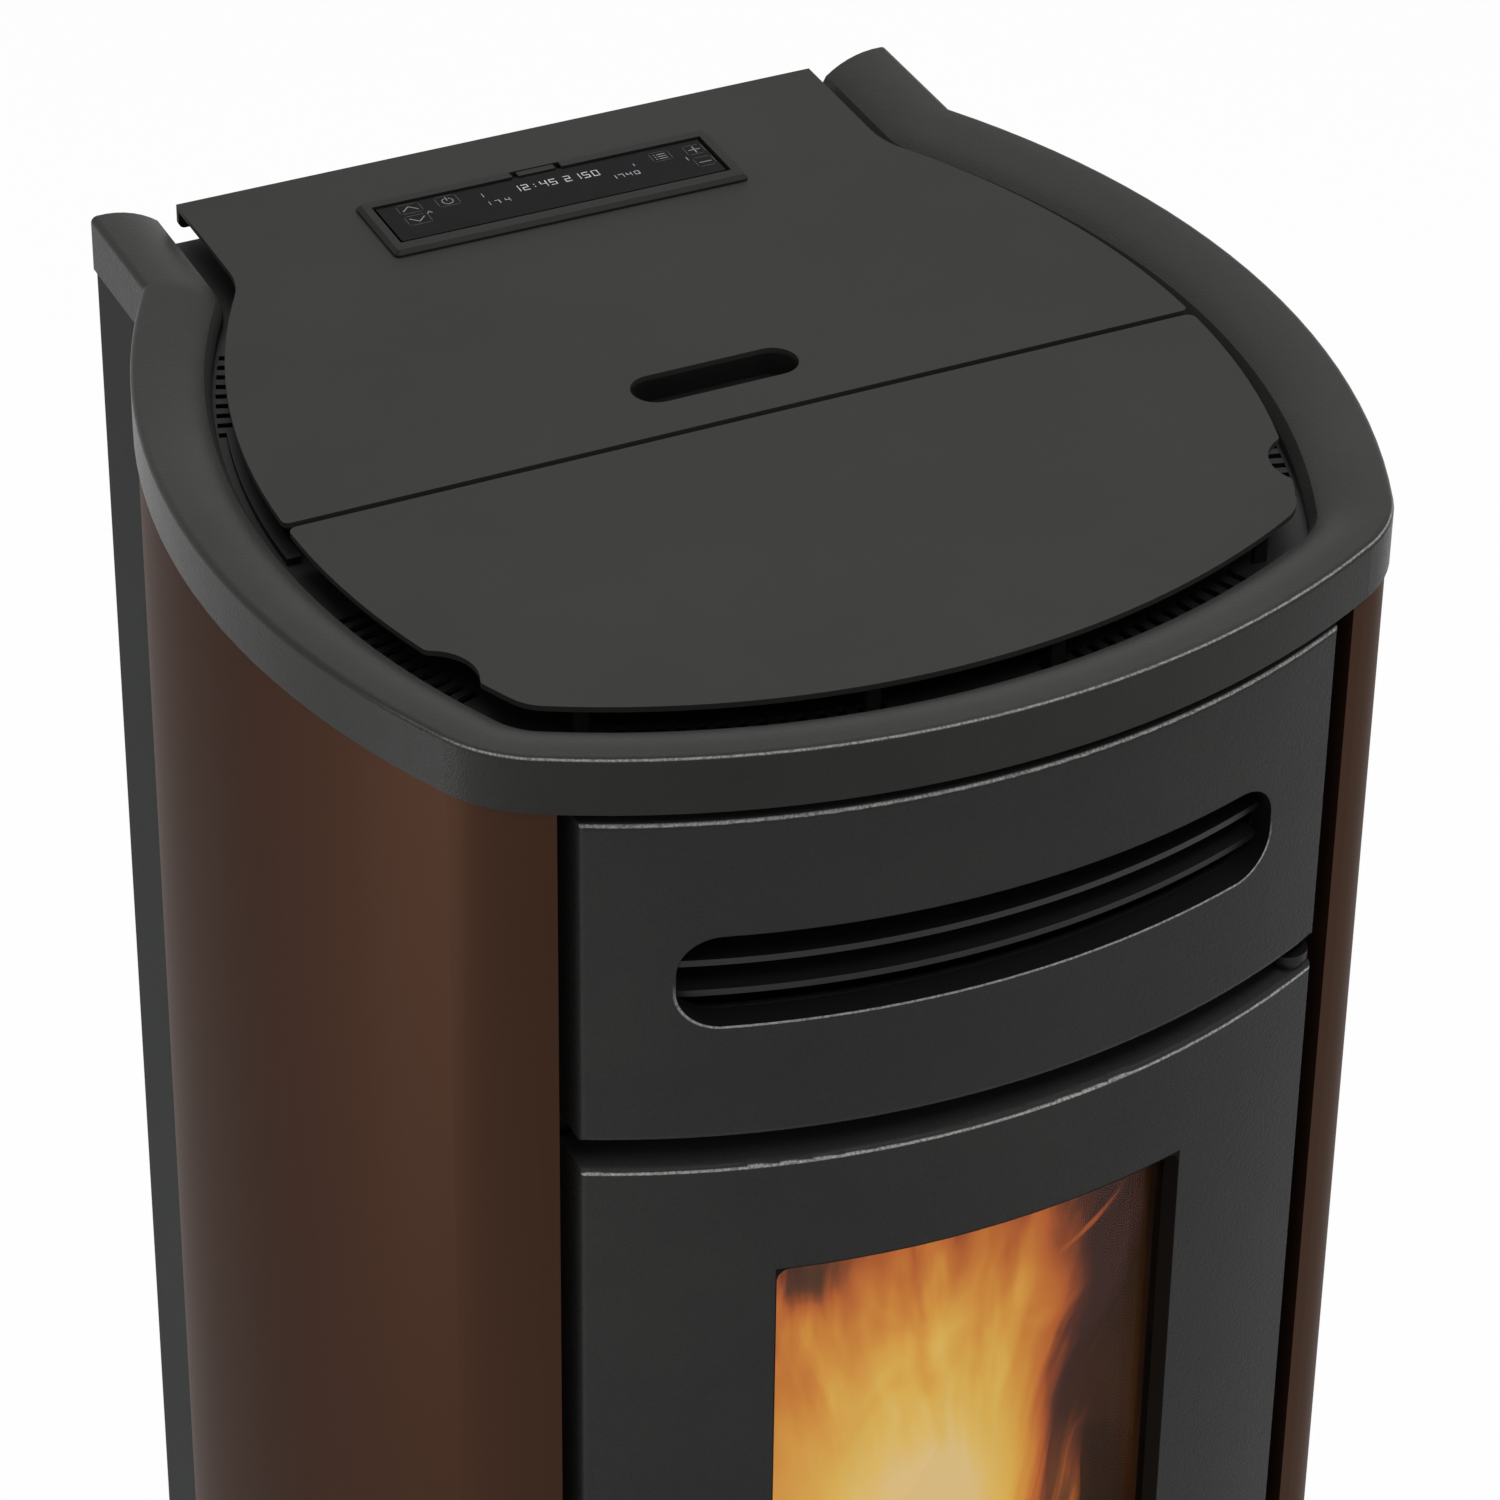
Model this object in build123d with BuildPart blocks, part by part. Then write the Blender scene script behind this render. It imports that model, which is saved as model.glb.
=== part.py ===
"""Pellet stove with a crowned cast top ring, bowed cast front and bronze curved sides.

Frame: +Z up, front faces -Y, X to the viewer's right, origin at the centre of the footprint's
bounding box on the floor. Millimetres.
"""
from build123d import *
from math import atan2, cos, degrees, hypot, radians, sin, sqrt
import os

os.makedirs("parts", exist_ok=True)

# ---------------------------------------------------------------- plan of the casing
half_width = 250.0         # widest half span of the top ring
body_depth = 511.0         # front of the ring to the back of the casing
spigot_out = 44.0          # flue spigot standing out of the back
arm_half = 196.0           # half span over the straight rear arms
side_r = 400.0             # plan radius of the bulged sides
side_ahead = 266.0         # centre of the side arcs ahead of the casing's back
front_r = 390.0            # plan radius of the bowed front
corner_r = 62.0            # plan radius of the front corners
kink_r = 2.0               # plan radius of the kink where the arm meets the side

# ---------------------------------------------------------------- heights
lid_level = 1055.0         # top face of the lid and the front plate
crown_rise = 3.0           # crown of the ring above the lid
ring_wall = 23.5           # outer wall of the ring below the lid level
ring_gap = 6.5             # shadow gap below the ring
grille_height = 157.0
front_gap = 14.0           # shadow gaps between the front castings
door_height = 514.0
drawer_lift = 58.0         # drawer front's bottom above the base plate
base_level = 62.0          # top of the base plate
skirt_height = 22.0

# ---------------------------------------------------------------- sheet and casting sizes
sheet = 1.5
plate = 2.0
lid_sheet = 2.5
skin_inset = 1.5           # side panels inside the ring's outer wall
cast_wall = 6.0
edge_round = 3.0           # rounded outer edges of the castings
running = 0.3              # gap between pieces that move past each other
pin_play = 0.06            # radial play of pins and spindles

# ---------------------------------------------------------------- top ring section, inward from its wall
ring_shoulder = 3.2
ring_crown_in = 31.0       # where the crown ends
ring_lip_in = 34.0         # inner lip
ring_lip_drop = 16.0       # underside of the lip below the lid level
lid_inset = 40.0           # edge of the lid and the front plate inside the ring's wall

# ---------------------------------------------------------------- lid and front plate
split_back = 246.0         # lid's front edge behind the ring's front
split_gap = 3.5
flange_drop = 11.0         # rear flange of the lid
slot_length = 77.0         # finger slot
slot_width = 22.5
slot_ahead = 34.5          # slot centre behind the lid's front edge
cup_depth = 12.0
notch_r = 21.0             # half-round finger notches of the front plate
notch_bite = 7.5
notch_back = 122.0         # notch centre behind the ring's front

# ---------------------------------------------------------------- display in the lid
bezel_half = 85.5
bezel_depth = 48.0
bezel_rise = 3.0
bezel_ahead = 36.5         # bezel's rear edge ahead of the casing's back
glass_half = 78.5
glass_depth = 31.5
glass_ahead = 43.3         # glass' rear edge ahead of the casing's back
display_thick = 9.0

# ---------------------------------------------------------------- front castings
face_inset = 3.0
face_half = 169.3
cast_back = 66.0           # back plane of the castings behind the ring's front
seal_back = 72.0           # front plane of the firebox and posts
vent_half = 134.5          # air slot in the upper casting
vent_height = 44.0
vent_corner = 18.0
vent_drop = 56.0           # slot's top below the casting's top
collar_depth = 12.0
blade_set_back = 8.0
blade_depth = 26.0
blade_thick = 3.0
blade_pitch = 14.8
blade_drop = 3.5           # louvre blades sit this much below the slot's middle

# ---------------------------------------------------------------- door
window_half = 94.0
window_height = 296.0
window_drop = 57.5         # window's top below the door's top
window_corner = 6.0
rim_wide = 16.0            # rim round the window that the glass bears on
glass_plane = 26.5         # rim's back face behind the ring's front
gasket_thick = 1.5
glass_thick = 5.0
glass_lap = 10.0
rope_half = 128.0          # centre line of the door rope
rope_wide = 8.0
rope_margin = 22.0         # rope's centre line inside the door's top and bottom
rope_groove = 3.0
hinge_x = 160.0
hinge_back = 47.5          # door hinge axis behind the ring's front
pin_r = 4.0
lug_r = 7.5
lug_height = 26.0
handle_x = 142.0
handle_up = 150.0          # handle spindle above the door's bottom
spindle_r = 5.0

# ---------------------------------------------------------------- firebox
box_half = 142.0
box_back = 312.0           # firebox back wall behind the ring's front
box_wall = 4.0
mouth_half = 118.0
pot_half_x = 50.0
pot_half_y = 45.0
pot_depth = 65.0
pot_back = 227.0           # pot centre behind the ring's front

# ---------------------------------------------------------------- derived planes
y_front = -(body_depth + spigot_out) / 2
y_rear = y_front + body_depth
side_x = half_width - side_r
side_y = y_rear - side_ahead
front_y = y_front + front_r
ring_bottom = lid_level - ring_wall
grille_top = ring_bottom - ring_gap
grille_bottom = grille_top - grille_height
door_top = grille_bottom - front_gap
door_bottom = door_top - door_height
drawer_top = door_bottom - front_gap
drawer_bottom = base_level + drawer_lift
box_bottom = door_bottom - 10
box_top = door_top - 4
mouth_bottom = door_bottom + 35
mouth_top = door_top - 32
holder_level = door_bottom + 60
face_r = front_r - face_inset
y_cast = y_front + cast_back
y_seal = y_front + seal_back
split_y = y_front + split_back
tray_top = lid_level - ring_lip_drop
lid_under = lid_level - lid_sheet


def circle_meet(x1, y1, r1, x2, y2, r2):
    """Point where two circles meet, the one on the right of the line from 1 to 2."""
    span = hypot(x2 - x1, y2 - y1)
    along = (r1**2 - r2**2 + span**2) / (2 * span)
    off = sqrt(r1**2 - along**2)
    ux, uy = (x2 - x1) / span, (y2 - y1) / span
    return x1 + along * ux + off * uy, y1 + along * uy - off * ux


corner_x, corner_y = circle_meet(side_x, side_y, side_r - corner_r, 0, front_y, front_r - corner_r)
kink_x = arm_half + kink_r
kink_y = side_y + sqrt((side_r + kink_r) ** 2 - (kink_x - side_x) ** 2)


def polar(cx, cy, r, angle):
    return cx + r * cos(radians(angle)), cy + r * sin(radians(angle))


angle_kink = degrees(atan2(kink_y - side_y, kink_x - side_x))
angle_corner_side = degrees(atan2(corner_y - side_y, corner_x - side_x))
angle_corner_front = degrees(atan2(corner_y - front_y, corner_x))


def arc_between(cx, cy, r, a0, a1):
    """Arc about (cx, cy) from angle a0 to a1, added to the line in progress."""
    return ThreePointArc(polar(cx, cy, r, a0), polar(cx, cy, r, (a0 + a1) / 2), polar(cx, cy, r, a1))


def plan(inset, rear=y_rear):
    """Casing outline, moved inward by inset, closed straight across at rear."""
    with BuildSketch(mode=Mode.PRIVATE) as area:
        with BuildLine():
            Line((arm_half - inset, rear), (arm_half - inset, kink_y))
            arc_between(kink_x, kink_y, kink_r + inset, 180, 180 + angle_kink)
            arc_between(side_x, side_y, side_r - inset, angle_kink, angle_corner_side)
            arc_between(corner_x, corner_y, corner_r - inset, angle_corner_side, angle_corner_front)
            arc_between(0, front_y, front_r - inset, angle_corner_front, -90)
            mirror(about=Plane.YZ)
            Line((arm_half - inset, rear), (inset - arm_half, rear))
        make_face()
    return area.sketch


def rect(x0, x1, y0, y1, corner=0):
    """Rectangle given by its edges."""
    with BuildSketch(mode=Mode.PRIVATE) as area:
        with Locations(((x0 + x1) / 2, (y0 + y1) / 2)):
            if corner > 0:
                RectangleRounded(x1 - x0, y1 - y0, corner)
            else:
                Rectangle(x1 - x0, y1 - y0)
    return area.sketch


def finish(piece, label):
    """Name a piece and write it."""
    piece.part.label = label
    export_step(piece.part, f"parts/{label}.step")


def finish_welded(pieces, label):
    """Name several solids that are joined face to face and write them as one piece."""
    joined = Compound([solid for piece in pieces for solid in piece.part.solids()], label=label)
    export_step(joined, f"parts/{label}.step")


def mirrored(piece, label):
    """Write the piece's mirror image across the middle plane."""
    with BuildPart() as other:
        mirror(piece.part, about=Plane.YZ)
    finish(other, label)


def bowed(half, depth_in, back_y, side_trim=0):
    """Plan of a piece with a bowed front face, depth_in behind the castings' face."""
    r = face_r - depth_in
    edge = half - side_trim
    ang = degrees(atan2(-sqrt(r**2 - edge**2), edge))
    with BuildSketch(mode=Mode.PRIVATE) as area:
        with BuildLine():
            arc_between(0, front_y, r, ang, -180 - ang)
            Polyline((-edge, front_y - sqrt(r**2 - edge**2)), (-edge, back_y), (edge, back_y),
                     (edge, front_y - sqrt(r**2 - edge**2)))
        make_face()
    return area.sketch


def bowed_shell(z0, z1):
    """Cast shell with a bowed face, returns on all four sides and an open back."""
    with BuildPart(mode=Mode.PRIVATE) as shell:
        with BuildSketch(Plane.XY.offset(z0)):
            add(bowed(face_half, 0, y_cast))
        extrude(amount=z1 - z0)
        front = shell.faces().sort_by(Axis.Y)[0]
        fillet(front.edges(), edge_round)
        with BuildSketch(Plane.XY.offset(z0 + cast_wall)):
            add(bowed(face_half, cast_wall, y_cast, cast_wall))
        extrude(amount=z1 - z0 - 2 * cast_wall, mode=Mode.SUBTRACT)
    return shell.part


# ================================================================ cast top ring
def ring_section(reach, sign, filled=False):
    """Crowned channel section; local x leaves the arc's centre, local y is height over the lid."""
    def at(inward, up):
        return reach + sign * inward, up

    lip = ring_lip_in - 4.5
    with BuildSketch(mode=Mode.PRIVATE) as area:
        with BuildLine():
            Line(at(0, -ring_wall), at(0, 0))
            ThreePointArc(at(0, 0), at(0.29 * ring_shoulder, 0.71 * crown_rise),
                          at(ring_shoulder, crown_rise))
            ThreePointArc(at(ring_shoulder, crown_rise), at(0.6 * ring_crown_in, crown_rise - 2.2),
                          at(ring_crown_in, -crown_rise * 2))
            if filled:
                Polyline(at(ring_crown_in, -crown_rise * 2), at(ring_lip_in, -11.5),
                         at(ring_lip_in, -ring_lip_drop), at(cast_wall, -ring_lip_drop),
                         at(cast_wall, -ring_wall), at(0, -ring_wall))
            else:
                Polyline(at(ring_crown_in, -crown_rise * 2), at(ring_lip_in, -11.5),
                         at(ring_lip_in, -ring_lip_drop), at(lip, -ring_lip_drop), at(lip, -12.5),
                         at(0.6 * ring_crown_in, -5.5), at(cast_wall, -3), at(cast_wall, -ring_wall),
                         at(0, -ring_wall))
        make_face()
    return area.sketch


def radial_plane(cx, cy, angle, level):
    """Upright plane through an arc's centre, local x pointing along angle."""
    c, s = cos(radians(angle)), sin(radians(angle))
    return Plane(origin=(cx, cy, level), x_dir=(c, s, 0), z_dir=(s, -c, 0))


def cross_plane(y, level=0):
    """Upright plane across the body, local x to the right, normal towards the viewer."""
    return Plane(origin=(0, y, level), x_dir=(1, 0, 0), z_dir=(0, -1, 0))


def side_plane(x):
    """Upright plane along the body, local x to the back, local y up, normal to the right."""
    return Plane(origin=(x, 0, 0), x_dir=(0, 1, 0), z_dir=(1, 0, 0))


ring_arcs = [
    (0, front_y, front_r, -1, -90, angle_corner_front),
    (corner_x, corner_y, corner_r, -1, angle_corner_front, angle_corner_side),
    (side_x, side_y, side_r, -1, angle_corner_side, angle_kink),
    (kink_x, kink_y, kink_r, 1, 180, 180 + angle_kink),
]
with BuildPart() as top_ring:
    for cx, cy, reach, sign, start, end in ring_arcs:
        with BuildSketch(radial_plane(cx, cy, start, lid_level)):
            add(ring_section(reach, sign))
        revolve(axis=Axis((cx, cy, 0), (0, 0, 1)), revolution_arc=end - start)
    with BuildSketch(cross_plane(kink_y, lid_level)):
        add(ring_section(arm_half, -1))
    extrude(amount=-(y_rear - kink_y))
    with BuildSketch(cross_plane(y_rear - cast_wall, lid_level)):
        add(ring_section(arm_half, -1, filled=True))
    extrude(amount=-cast_wall)
    mirror(about=Plane.YZ)
finish(top_ring, "top_ring")

# ================================================================ vented tray under the lid
tray_under = 8.0           # tray edge inside the ring's outer wall
slot_in = 35.5             # vent slots start inside the ring's wall
slot_reach = 15.0
slot_wide = 3.6
mouth_x = 140.0            # hopper's mouth
mouth_front = 258.0        # behind the ring's front
mouth_ahead = 99.0          # mouth's rear edge ahead of the casing's back
service_half = 115.0       # opening over the heat exchanger
service_front = 84.0
service_rear = 216.0
rail_rise = 3.0
y_mouth0 = y_front + mouth_front
y_mouth1 = y_rear - mouth_ahead
rear_flange_y = y_rear - 16.5

with BuildSketch(mode=Mode.PRIVATE) as vent_slots:
    mid = slot_in + slot_reach / 2
    with Locations((side_x, side_y)):
        with PolarLocations(side_r - mid, 9, 16.0, 10.0, endpoint=True):
            Rectangle(slot_reach, slot_wide)
        with PolarLocations(side_r - mid, 11, -20.4, 12.0, endpoint=True):
            Rectangle(slot_reach, slot_wide)
    with Locations((0, front_y)):
        with PolarLocations(front_r - mid, 14, -84.0, 17.5, endpoint=True):
            Rectangle(slot_reach, slot_wide)
    mirror(about=Plane.YZ)

with BuildPart() as vent_tray:
    with BuildSketch(Plane.XY.offset(tray_top - plate)):
        add(plan(tray_under, y_rear - cast_wall))
        add(rect(-mouth_x, mouth_x, y_mouth0, y_mouth1), mode=Mode.SUBTRACT)
        add(rect(-service_half, service_half, y_front + service_front, y_front + service_rear, 10),
            mode=Mode.SUBTRACT)
        add(rect(-145, 145, rear_flange_y + plate, y_rear + 10), mode=Mode.SUBTRACT)
        add(vent_slots.sketch, mode=Mode.SUBTRACT)
    extrude(amount=plate)
    with BuildSketch(Plane.XY.offset(tray_top - plate)):
        add(rect(-145, 145, rear_flange_y, rear_flange_y + plate))
    extrude(amount=-17)
    with BuildSketch(Plane.XY.offset(tray_top)):
        add(plan(38.5))
        add(plan(45), mode=Mode.SUBTRACT)
        add(rect(-half_width, half_width, side_y - 5, side_y + 98), mode=Mode.INTERSECT)
    extrude(amount=rail_rise)
    for x in (-152, -41, 41, 152):
        with BuildSketch(Plane.XY.offset(tray_top)):
            with Locations((x, front_y - sqrt((front_r - lid_inset - 4) ** 2 - x**2))):
                Rectangle(6, 2.5)
        extrude(amount=lid_under - tray_top)
    for x in (-185, 185):
        with BuildSketch(Plane.XY.offset(tray_top)):
            with Locations((x, split_y - 20)):
                Rectangle(2.5, 6)
        extrude(amount=lid_under - tray_top)
finish(vent_tray, "vent_tray")

# ================================================================ lid and its hinge
hinge_axis_y = y_rear - 7.5
hinge_axis_z = lid_level - 6.5
knuckle_r = 3.7
lid_pin_r = 2.0
lid_hinge_x = 112.0
bezel_y1 = y_rear - bezel_ahead
bezel_y0 = bezel_y1 - bezel_depth
glass_y1 = y_rear - glass_ahead
glass_y0 = glass_y1 - glass_depth
end_slit = 1.6
front_slit = 2.2
well_wall = 2.0
slot_y = split_y + slot_ahead

with BuildPart() as hopper_lid:
    with BuildSketch(Plane.XY.offset(lid_under)):
        add(plan(lid_inset))
        add(rect(-half_width, half_width, split_y, y_rear), mode=Mode.INTERSECT)
    extrude(amount=lid_sheet)
    front_corners = hopper_lid.edges().filter_by(Axis.Z).group_by(Axis.Y)[0]
    fillet(front_corners, 3)
    with BuildSketch(cross_plane(y_rear - lid_sheet, lid_level)):
        with BuildLine():
            reach = arm_half - lid_inset
            Polyline((-reach, -1), (-reach, -flange_drop), (reach, -flange_drop), (reach, -1), close=True)
        make_face()
        fillet(vertices().sort_by(Axis.Y)[:2], 3)
    extrude(amount=-lid_sheet)
    with BuildSketch(cross_plane(split_y + sheet + 1, lid_level)):
        with BuildLine():
            Polyline((-190, -lid_sheet), (-190, -8), (190, -8), (190, -lid_sheet), close=True)
        make_face()
    extrude(amount=sheet)
    with BuildSketch(Plane.XY.offset(lid_level)):
        with Locations((0, slot_y)):
            SlotOverall(slot_length, slot_width)
        well = glass_half + end_slit + well_wall + 0.2
        add(rect(-well, well, glass_y0 - front_slit - well_wall - 0.2, glass_y1 + well_wall + 0.5))
    extrude(amount=-lid_sheet, mode=Mode.SUBTRACT)
finish(hopper_lid, "hopper_lid")

with BuildPart() as finger_cup:
    with BuildSketch(Plane.XY.offset(lid_under)):
        with Locations((0, slot_y)):
            SlotOverall(slot_length + 10, slot_width + 10)
    extrude(amount=-1)
    with BuildSketch(Plane.XY.offset(lid_under)):
        with Locations((0, slot_y)):
            SlotOverall(slot_length + 3, slot_width + 3)
    extrude(amount=-cup_depth)
    with BuildSketch(Plane.XY.offset(lid_under)):
        with Locations((0, slot_y)):
            SlotOverall(slot_length, slot_width)
    extrude(amount=-(cup_depth - sheet), mode=Mode.SUBTRACT)
finish(finger_cup, "finger_cup")

leaf_y = hinge_axis_y - knuckle_r - 1.2
with BuildPart() as lid_hinge_fixed:
    for side in (-1, 1):
        with BuildSketch(side_plane(side * lid_hinge_x)):
            with Locations((hinge_axis_y, hinge_axis_z)):
                Circle(knuckle_r)
            with BuildLine():
                Polyline((hinge_axis_y - 1.5, hinge_axis_z), (leaf_y, tray_top),
                         (rear_flange_y - 14, tray_top), (rear_flange_y - 14, tray_top + plate),
                         (leaf_y - plate, tray_top + plate), (leaf_y - plate, hinge_axis_z + 1),
                         (leaf_y, hinge_axis_z + 2), close=True)
            make_face()
        extrude(amount=side * 14)
        with BuildSketch(side_plane(side * lid_hinge_x)):
            with Locations((hinge_axis_y, hinge_axis_z)):
                Circle(lid_pin_r)
        extrude(amount=side * 30)
finish(lid_hinge_fixed, "lid_hinge_fixed")

with BuildPart() as lid_hinge_moving:
    for side in (-1, 1):
        start = lid_hinge_x + 14 + running
        with BuildSketch(side_plane(side * start)):
            with Locations((hinge_axis_y, hinge_axis_z)):
                Circle(knuckle_r)
            with BuildLine():
                Polyline((hinge_axis_y, hinge_axis_z + knuckle_r - 1), (hinge_axis_y, lid_under),
                         (hinge_axis_y - 24, lid_under), (hinge_axis_y - 24, lid_under - 1.2),
                         (hinge_axis_y - 2, lid_under - 1.2), (hinge_axis_y - 3, hinge_axis_z), close=True)
            make_face()
            with Locations((hinge_axis_y, hinge_axis_z)):
                Circle(lid_pin_r + pin_play, mode=Mode.SUBTRACT)
        extrude(amount=side * 16)
finish(lid_hinge_moving, "lid_hinge_moving")

# ================================================================ display
display_top = lid_level + bezel_rise - 0.8
tilt_y = glass_y0 + 1.5
tilt_z = display_top - 4
tilt_pin_r = 1.2
tab_half = 11.0
screen_thick = 1.5

with BuildPart() as display_bezel:
    with BuildSketch(Plane.XY.offset(lid_level)):
        add(rect(-bezel_half, bezel_half, bezel_y0, bezel_y1, 2.5))
    extrude(amount=bezel_rise)
    chamfer(display_bezel.faces().sort_by(Axis.Z)[-1].edges(), 1.8)
    with BuildSketch(Plane.XY.offset(lid_level)):
        outer = glass_half + end_slit + well_wall
        add(rect(-outer, outer, glass_y0 - front_slit - well_wall, glass_y1 + running + well_wall))
    extrude(amount=-lid_sheet - 9)
    with BuildSketch(Plane.XY.offset(lid_level + bezel_rise)):
        inner = glass_half + end_slit
        add(rect(-inner, inner, glass_y0 - front_slit, glass_y1 + running))
    extrude(amount=-lid_sheet - 12, mode=Mode.SUBTRACT)
    with BuildSketch(Plane.XY.offset(lid_level + bezel_rise)):
        add(rect(-tab_half - 1, tab_half + 1, glass_y1, glass_y1 + 4.6))
    extrude(amount=-bezel_rise, mode=Mode.SUBTRACT)
    for side in (-1, 1):
        with BuildSketch(side_plane(side * (glass_half + end_slit - 1))):
            with Locations((tilt_y, tilt_z)):
                Circle(tilt_pin_r + pin_play)
        extrude(amount=side * (well_wall + 2), mode=Mode.SUBTRACT)
finish(display_bezel, "display_bezel")

with BuildPart() as display_module:
    with BuildSketch(Plane.XY.offset(display_top - screen_thick)):
        add(rect(-glass_half, glass_half, glass_y0, glass_y1, 1))
    extrude(amount=-(display_thick - screen_thick))
    with BuildSketch(side_plane(-glass_half)):
        with BuildLine():
            low = display_top - display_thick
            Polyline((glass_y1 - 2, low), (glass_y1, low), (glass_y1, low + 2), close=True)
        make_face()
    extrude(amount=2 * glass_half, mode=Mode.SUBTRACT)
    with BuildSketch(Plane.XY.offset(display_top - screen_thick)):
        add(rect(-tab_half, tab_half, glass_y1 - 1, glass_y1 + 4))
    extrude(amount=-0.5)
    with BuildSketch(Plane.XY.offset(display_top - screen_thick)):
        add(rect(-tab_half + 2, tab_half - 2, glass_y1 + running, glass_y1 + 4))
    extrude(amount=2.1)
    with BuildSketch(side_plane(-glass_half - end_slit - well_wall + 0.4)):
        with Locations((tilt_y, tilt_z)):
            Circle(tilt_pin_r)
    extrude(amount=2 * (glass_half + end_slit + well_wall - 0.4))
finish(display_module, "display_module")

with BuildPart() as display_screen:
    with BuildSketch(Plane.XY.offset(display_top)):
        add(rect(-glass_half, glass_half, glass_y0, glass_y1, 1))
    extrude(amount=-screen_thick)
finish(display_screen, "display_screen")

# ================================================================ lift-off front plate
notch_y = y_front + notch_back
notch_angle = degrees(atan2(notch_y - side_y, sqrt((side_r - lid_inset) ** 2 - (notch_y - side_y) ** 2)))
notch_x, notch_cy = polar(side_x, side_y, side_r - lid_inset + notch_r - notch_bite, notch_angle)

with BuildPart() as front_plate:
    with BuildSketch(Plane.XY.offset(lid_under)):
        add(plan(lid_inset))
        add(rect(-half_width, half_width, y_front, split_y - split_gap), mode=Mode.INTERSECT)
        with Locations((notch_x, notch_cy), (-notch_x, notch_cy)):
            Circle(notch_r, mode=Mode.SUBTRACT)
    extrude(amount=lid_sheet)
    upright = front_plate.edges().filter_by(Axis.Z)
    fillet(upright.group_by(Axis.Y)[-1], 4)
    fillet(front_plate.edges().filter_by(Axis.Z).filter_by_position(
        Axis.Y, notch_y - notch_r, notch_y + notch_r), 4)
finish(front_plate, "front_plate")

# ================================================================ upper front casting with its air slot
vent_mid = grille_top - vent_drop - vent_height / 2
boss_x = 158.0
boss_r = 5.0
grille_boss_z = (grille_bottom + 32, grille_top - 15)
collar_wall = 4.0


def slot_prism(grow):
    """Prism along Y with the air slot's outline, grown by grow."""
    with BuildPart(mode=Mode.PRIVATE) as prism:
        with BuildSketch(cross_plane(y_front - 10, vent_mid)):
            RectangleRounded(2 * (vent_half + grow), vent_height + 2 * grow, vent_corner + grow)
        extrude(amount=-(cast_back + 40))
    return prism.part


def bowed_band(depth0, depth1, z0, z1, half=face_half - 2):
    """Curved plate between two depths behind the castings' face."""
    with BuildPart(mode=Mode.PRIVATE) as band:
        with BuildSketch(Plane.XY.offset(z0)):
            add(bowed(half, depth0, y_cast + 30))
            add(bowed(half + 1, depth1, y_cast + 31), mode=Mode.SUBTRACT)
        extrude(amount=z1 - z0)
    return band.part


def inside_face(x, depth=cast_wall):
    """Y of the bowed wall's inner face at x."""
    return front_y - sqrt((face_r - depth) ** 2 - x**2)


with BuildPart() as grille_panel:
    add(bowed_shell(grille_bottom, grille_top))
    add(slot_prism(collar_wall) & bowed_band(2, collar_depth, grille_bottom, grille_top))
    add(slot_prism(0), mode=Mode.SUBTRACT)
    for z in grille_boss_z:
        with BuildSketch(cross_plane(y_seal, z)):
            with Locations((boss_x, 0), (-boss_x, 0)):
                Circle(boss_r)
        extrude(amount=y_seal - inside_face(boss_x) + 2)
finish(grille_panel, "grille_panel")

with BuildPart() as louvre_insert:
    back = collar_depth + plate
    border = slot_prism(collar_wall) - slot_prism(-1)
    add(border & bowed_band(collar_depth, back, grille_bottom, grille_top))
    for up in (-blade_pitch / 2, blade_pitch / 2):
        low = vent_mid - blade_drop + up - blade_thick / 2
        blade = bowed_band(blade_set_back, blade_set_back + blade_depth, low, low + blade_thick)
        add(slot_prism(-0.9) & blade)
finish(louvre_insert, "louvre_insert")

# ================================================================ firebox and heat exchanger
y_box = y_front + box_back
floor_half = box_half - 32  # ash opening in the firebox floor
floor_front = 84.0
floor_rear = 292.0
flange_half = box_half + 10
flange_thick = 5.0
igniter_r = 6.0
igniter_z = holder_level + 25
intake_r = 25.0            # combustion air pipe
intake_x = -85.0
intake_z = box_bottom + 36
intake_out = 30.0          # pipe beyond the casing's back
pipe_step = 1.5            # pipes are this much slimmer inside the casing
intake_bore_r = intake_r - pipe_step - sheet
exchange_top = box_top + 135
exchange_back = 237.0      # back of the heat exchanger behind the ring's front
tube_r = 15.0
tube_pitch = 38.0
y_exchange = y_front + exchange_back
exchange_front = y_seal + 15.5
channel_y0 = y_exchange - 80.0
hood_half = 148.0          # collar that joins the exchanger to the upper casting
hood_tall = 45.0
hood_mid = vent_mid - tube_pitch / 2
auger_back = 75.5           # a point of the auger axis behind the firebox
auger_y = y_box + auger_back  # the axis rises 45 degrees to the front
auger_z = 600.0
auger_up = 70.0            # tube's upper end from that point
auger_down = 50.0
auger_r = 30.0
chute_half = 26.0
c45 = sqrt(0.5)
end_y = auger_y - auger_up * c45
end_z = auger_z + auger_up * c45
chute_mid_z = end_z + chute_half * c45 - (end_y - chute_half * c45 - y_box + box_wall / 2)

with BuildPart() as firebox_front:
    with BuildSketch(cross_plane(y_seal)):
        add(rect(-flange_half, flange_half, box_bottom, box_top))
        add(rect(-mouth_half, mouth_half, mouth_bottom, mouth_top, 8), mode=Mode.SUBTRACT)
    extrude(amount=-flange_thick)

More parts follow.
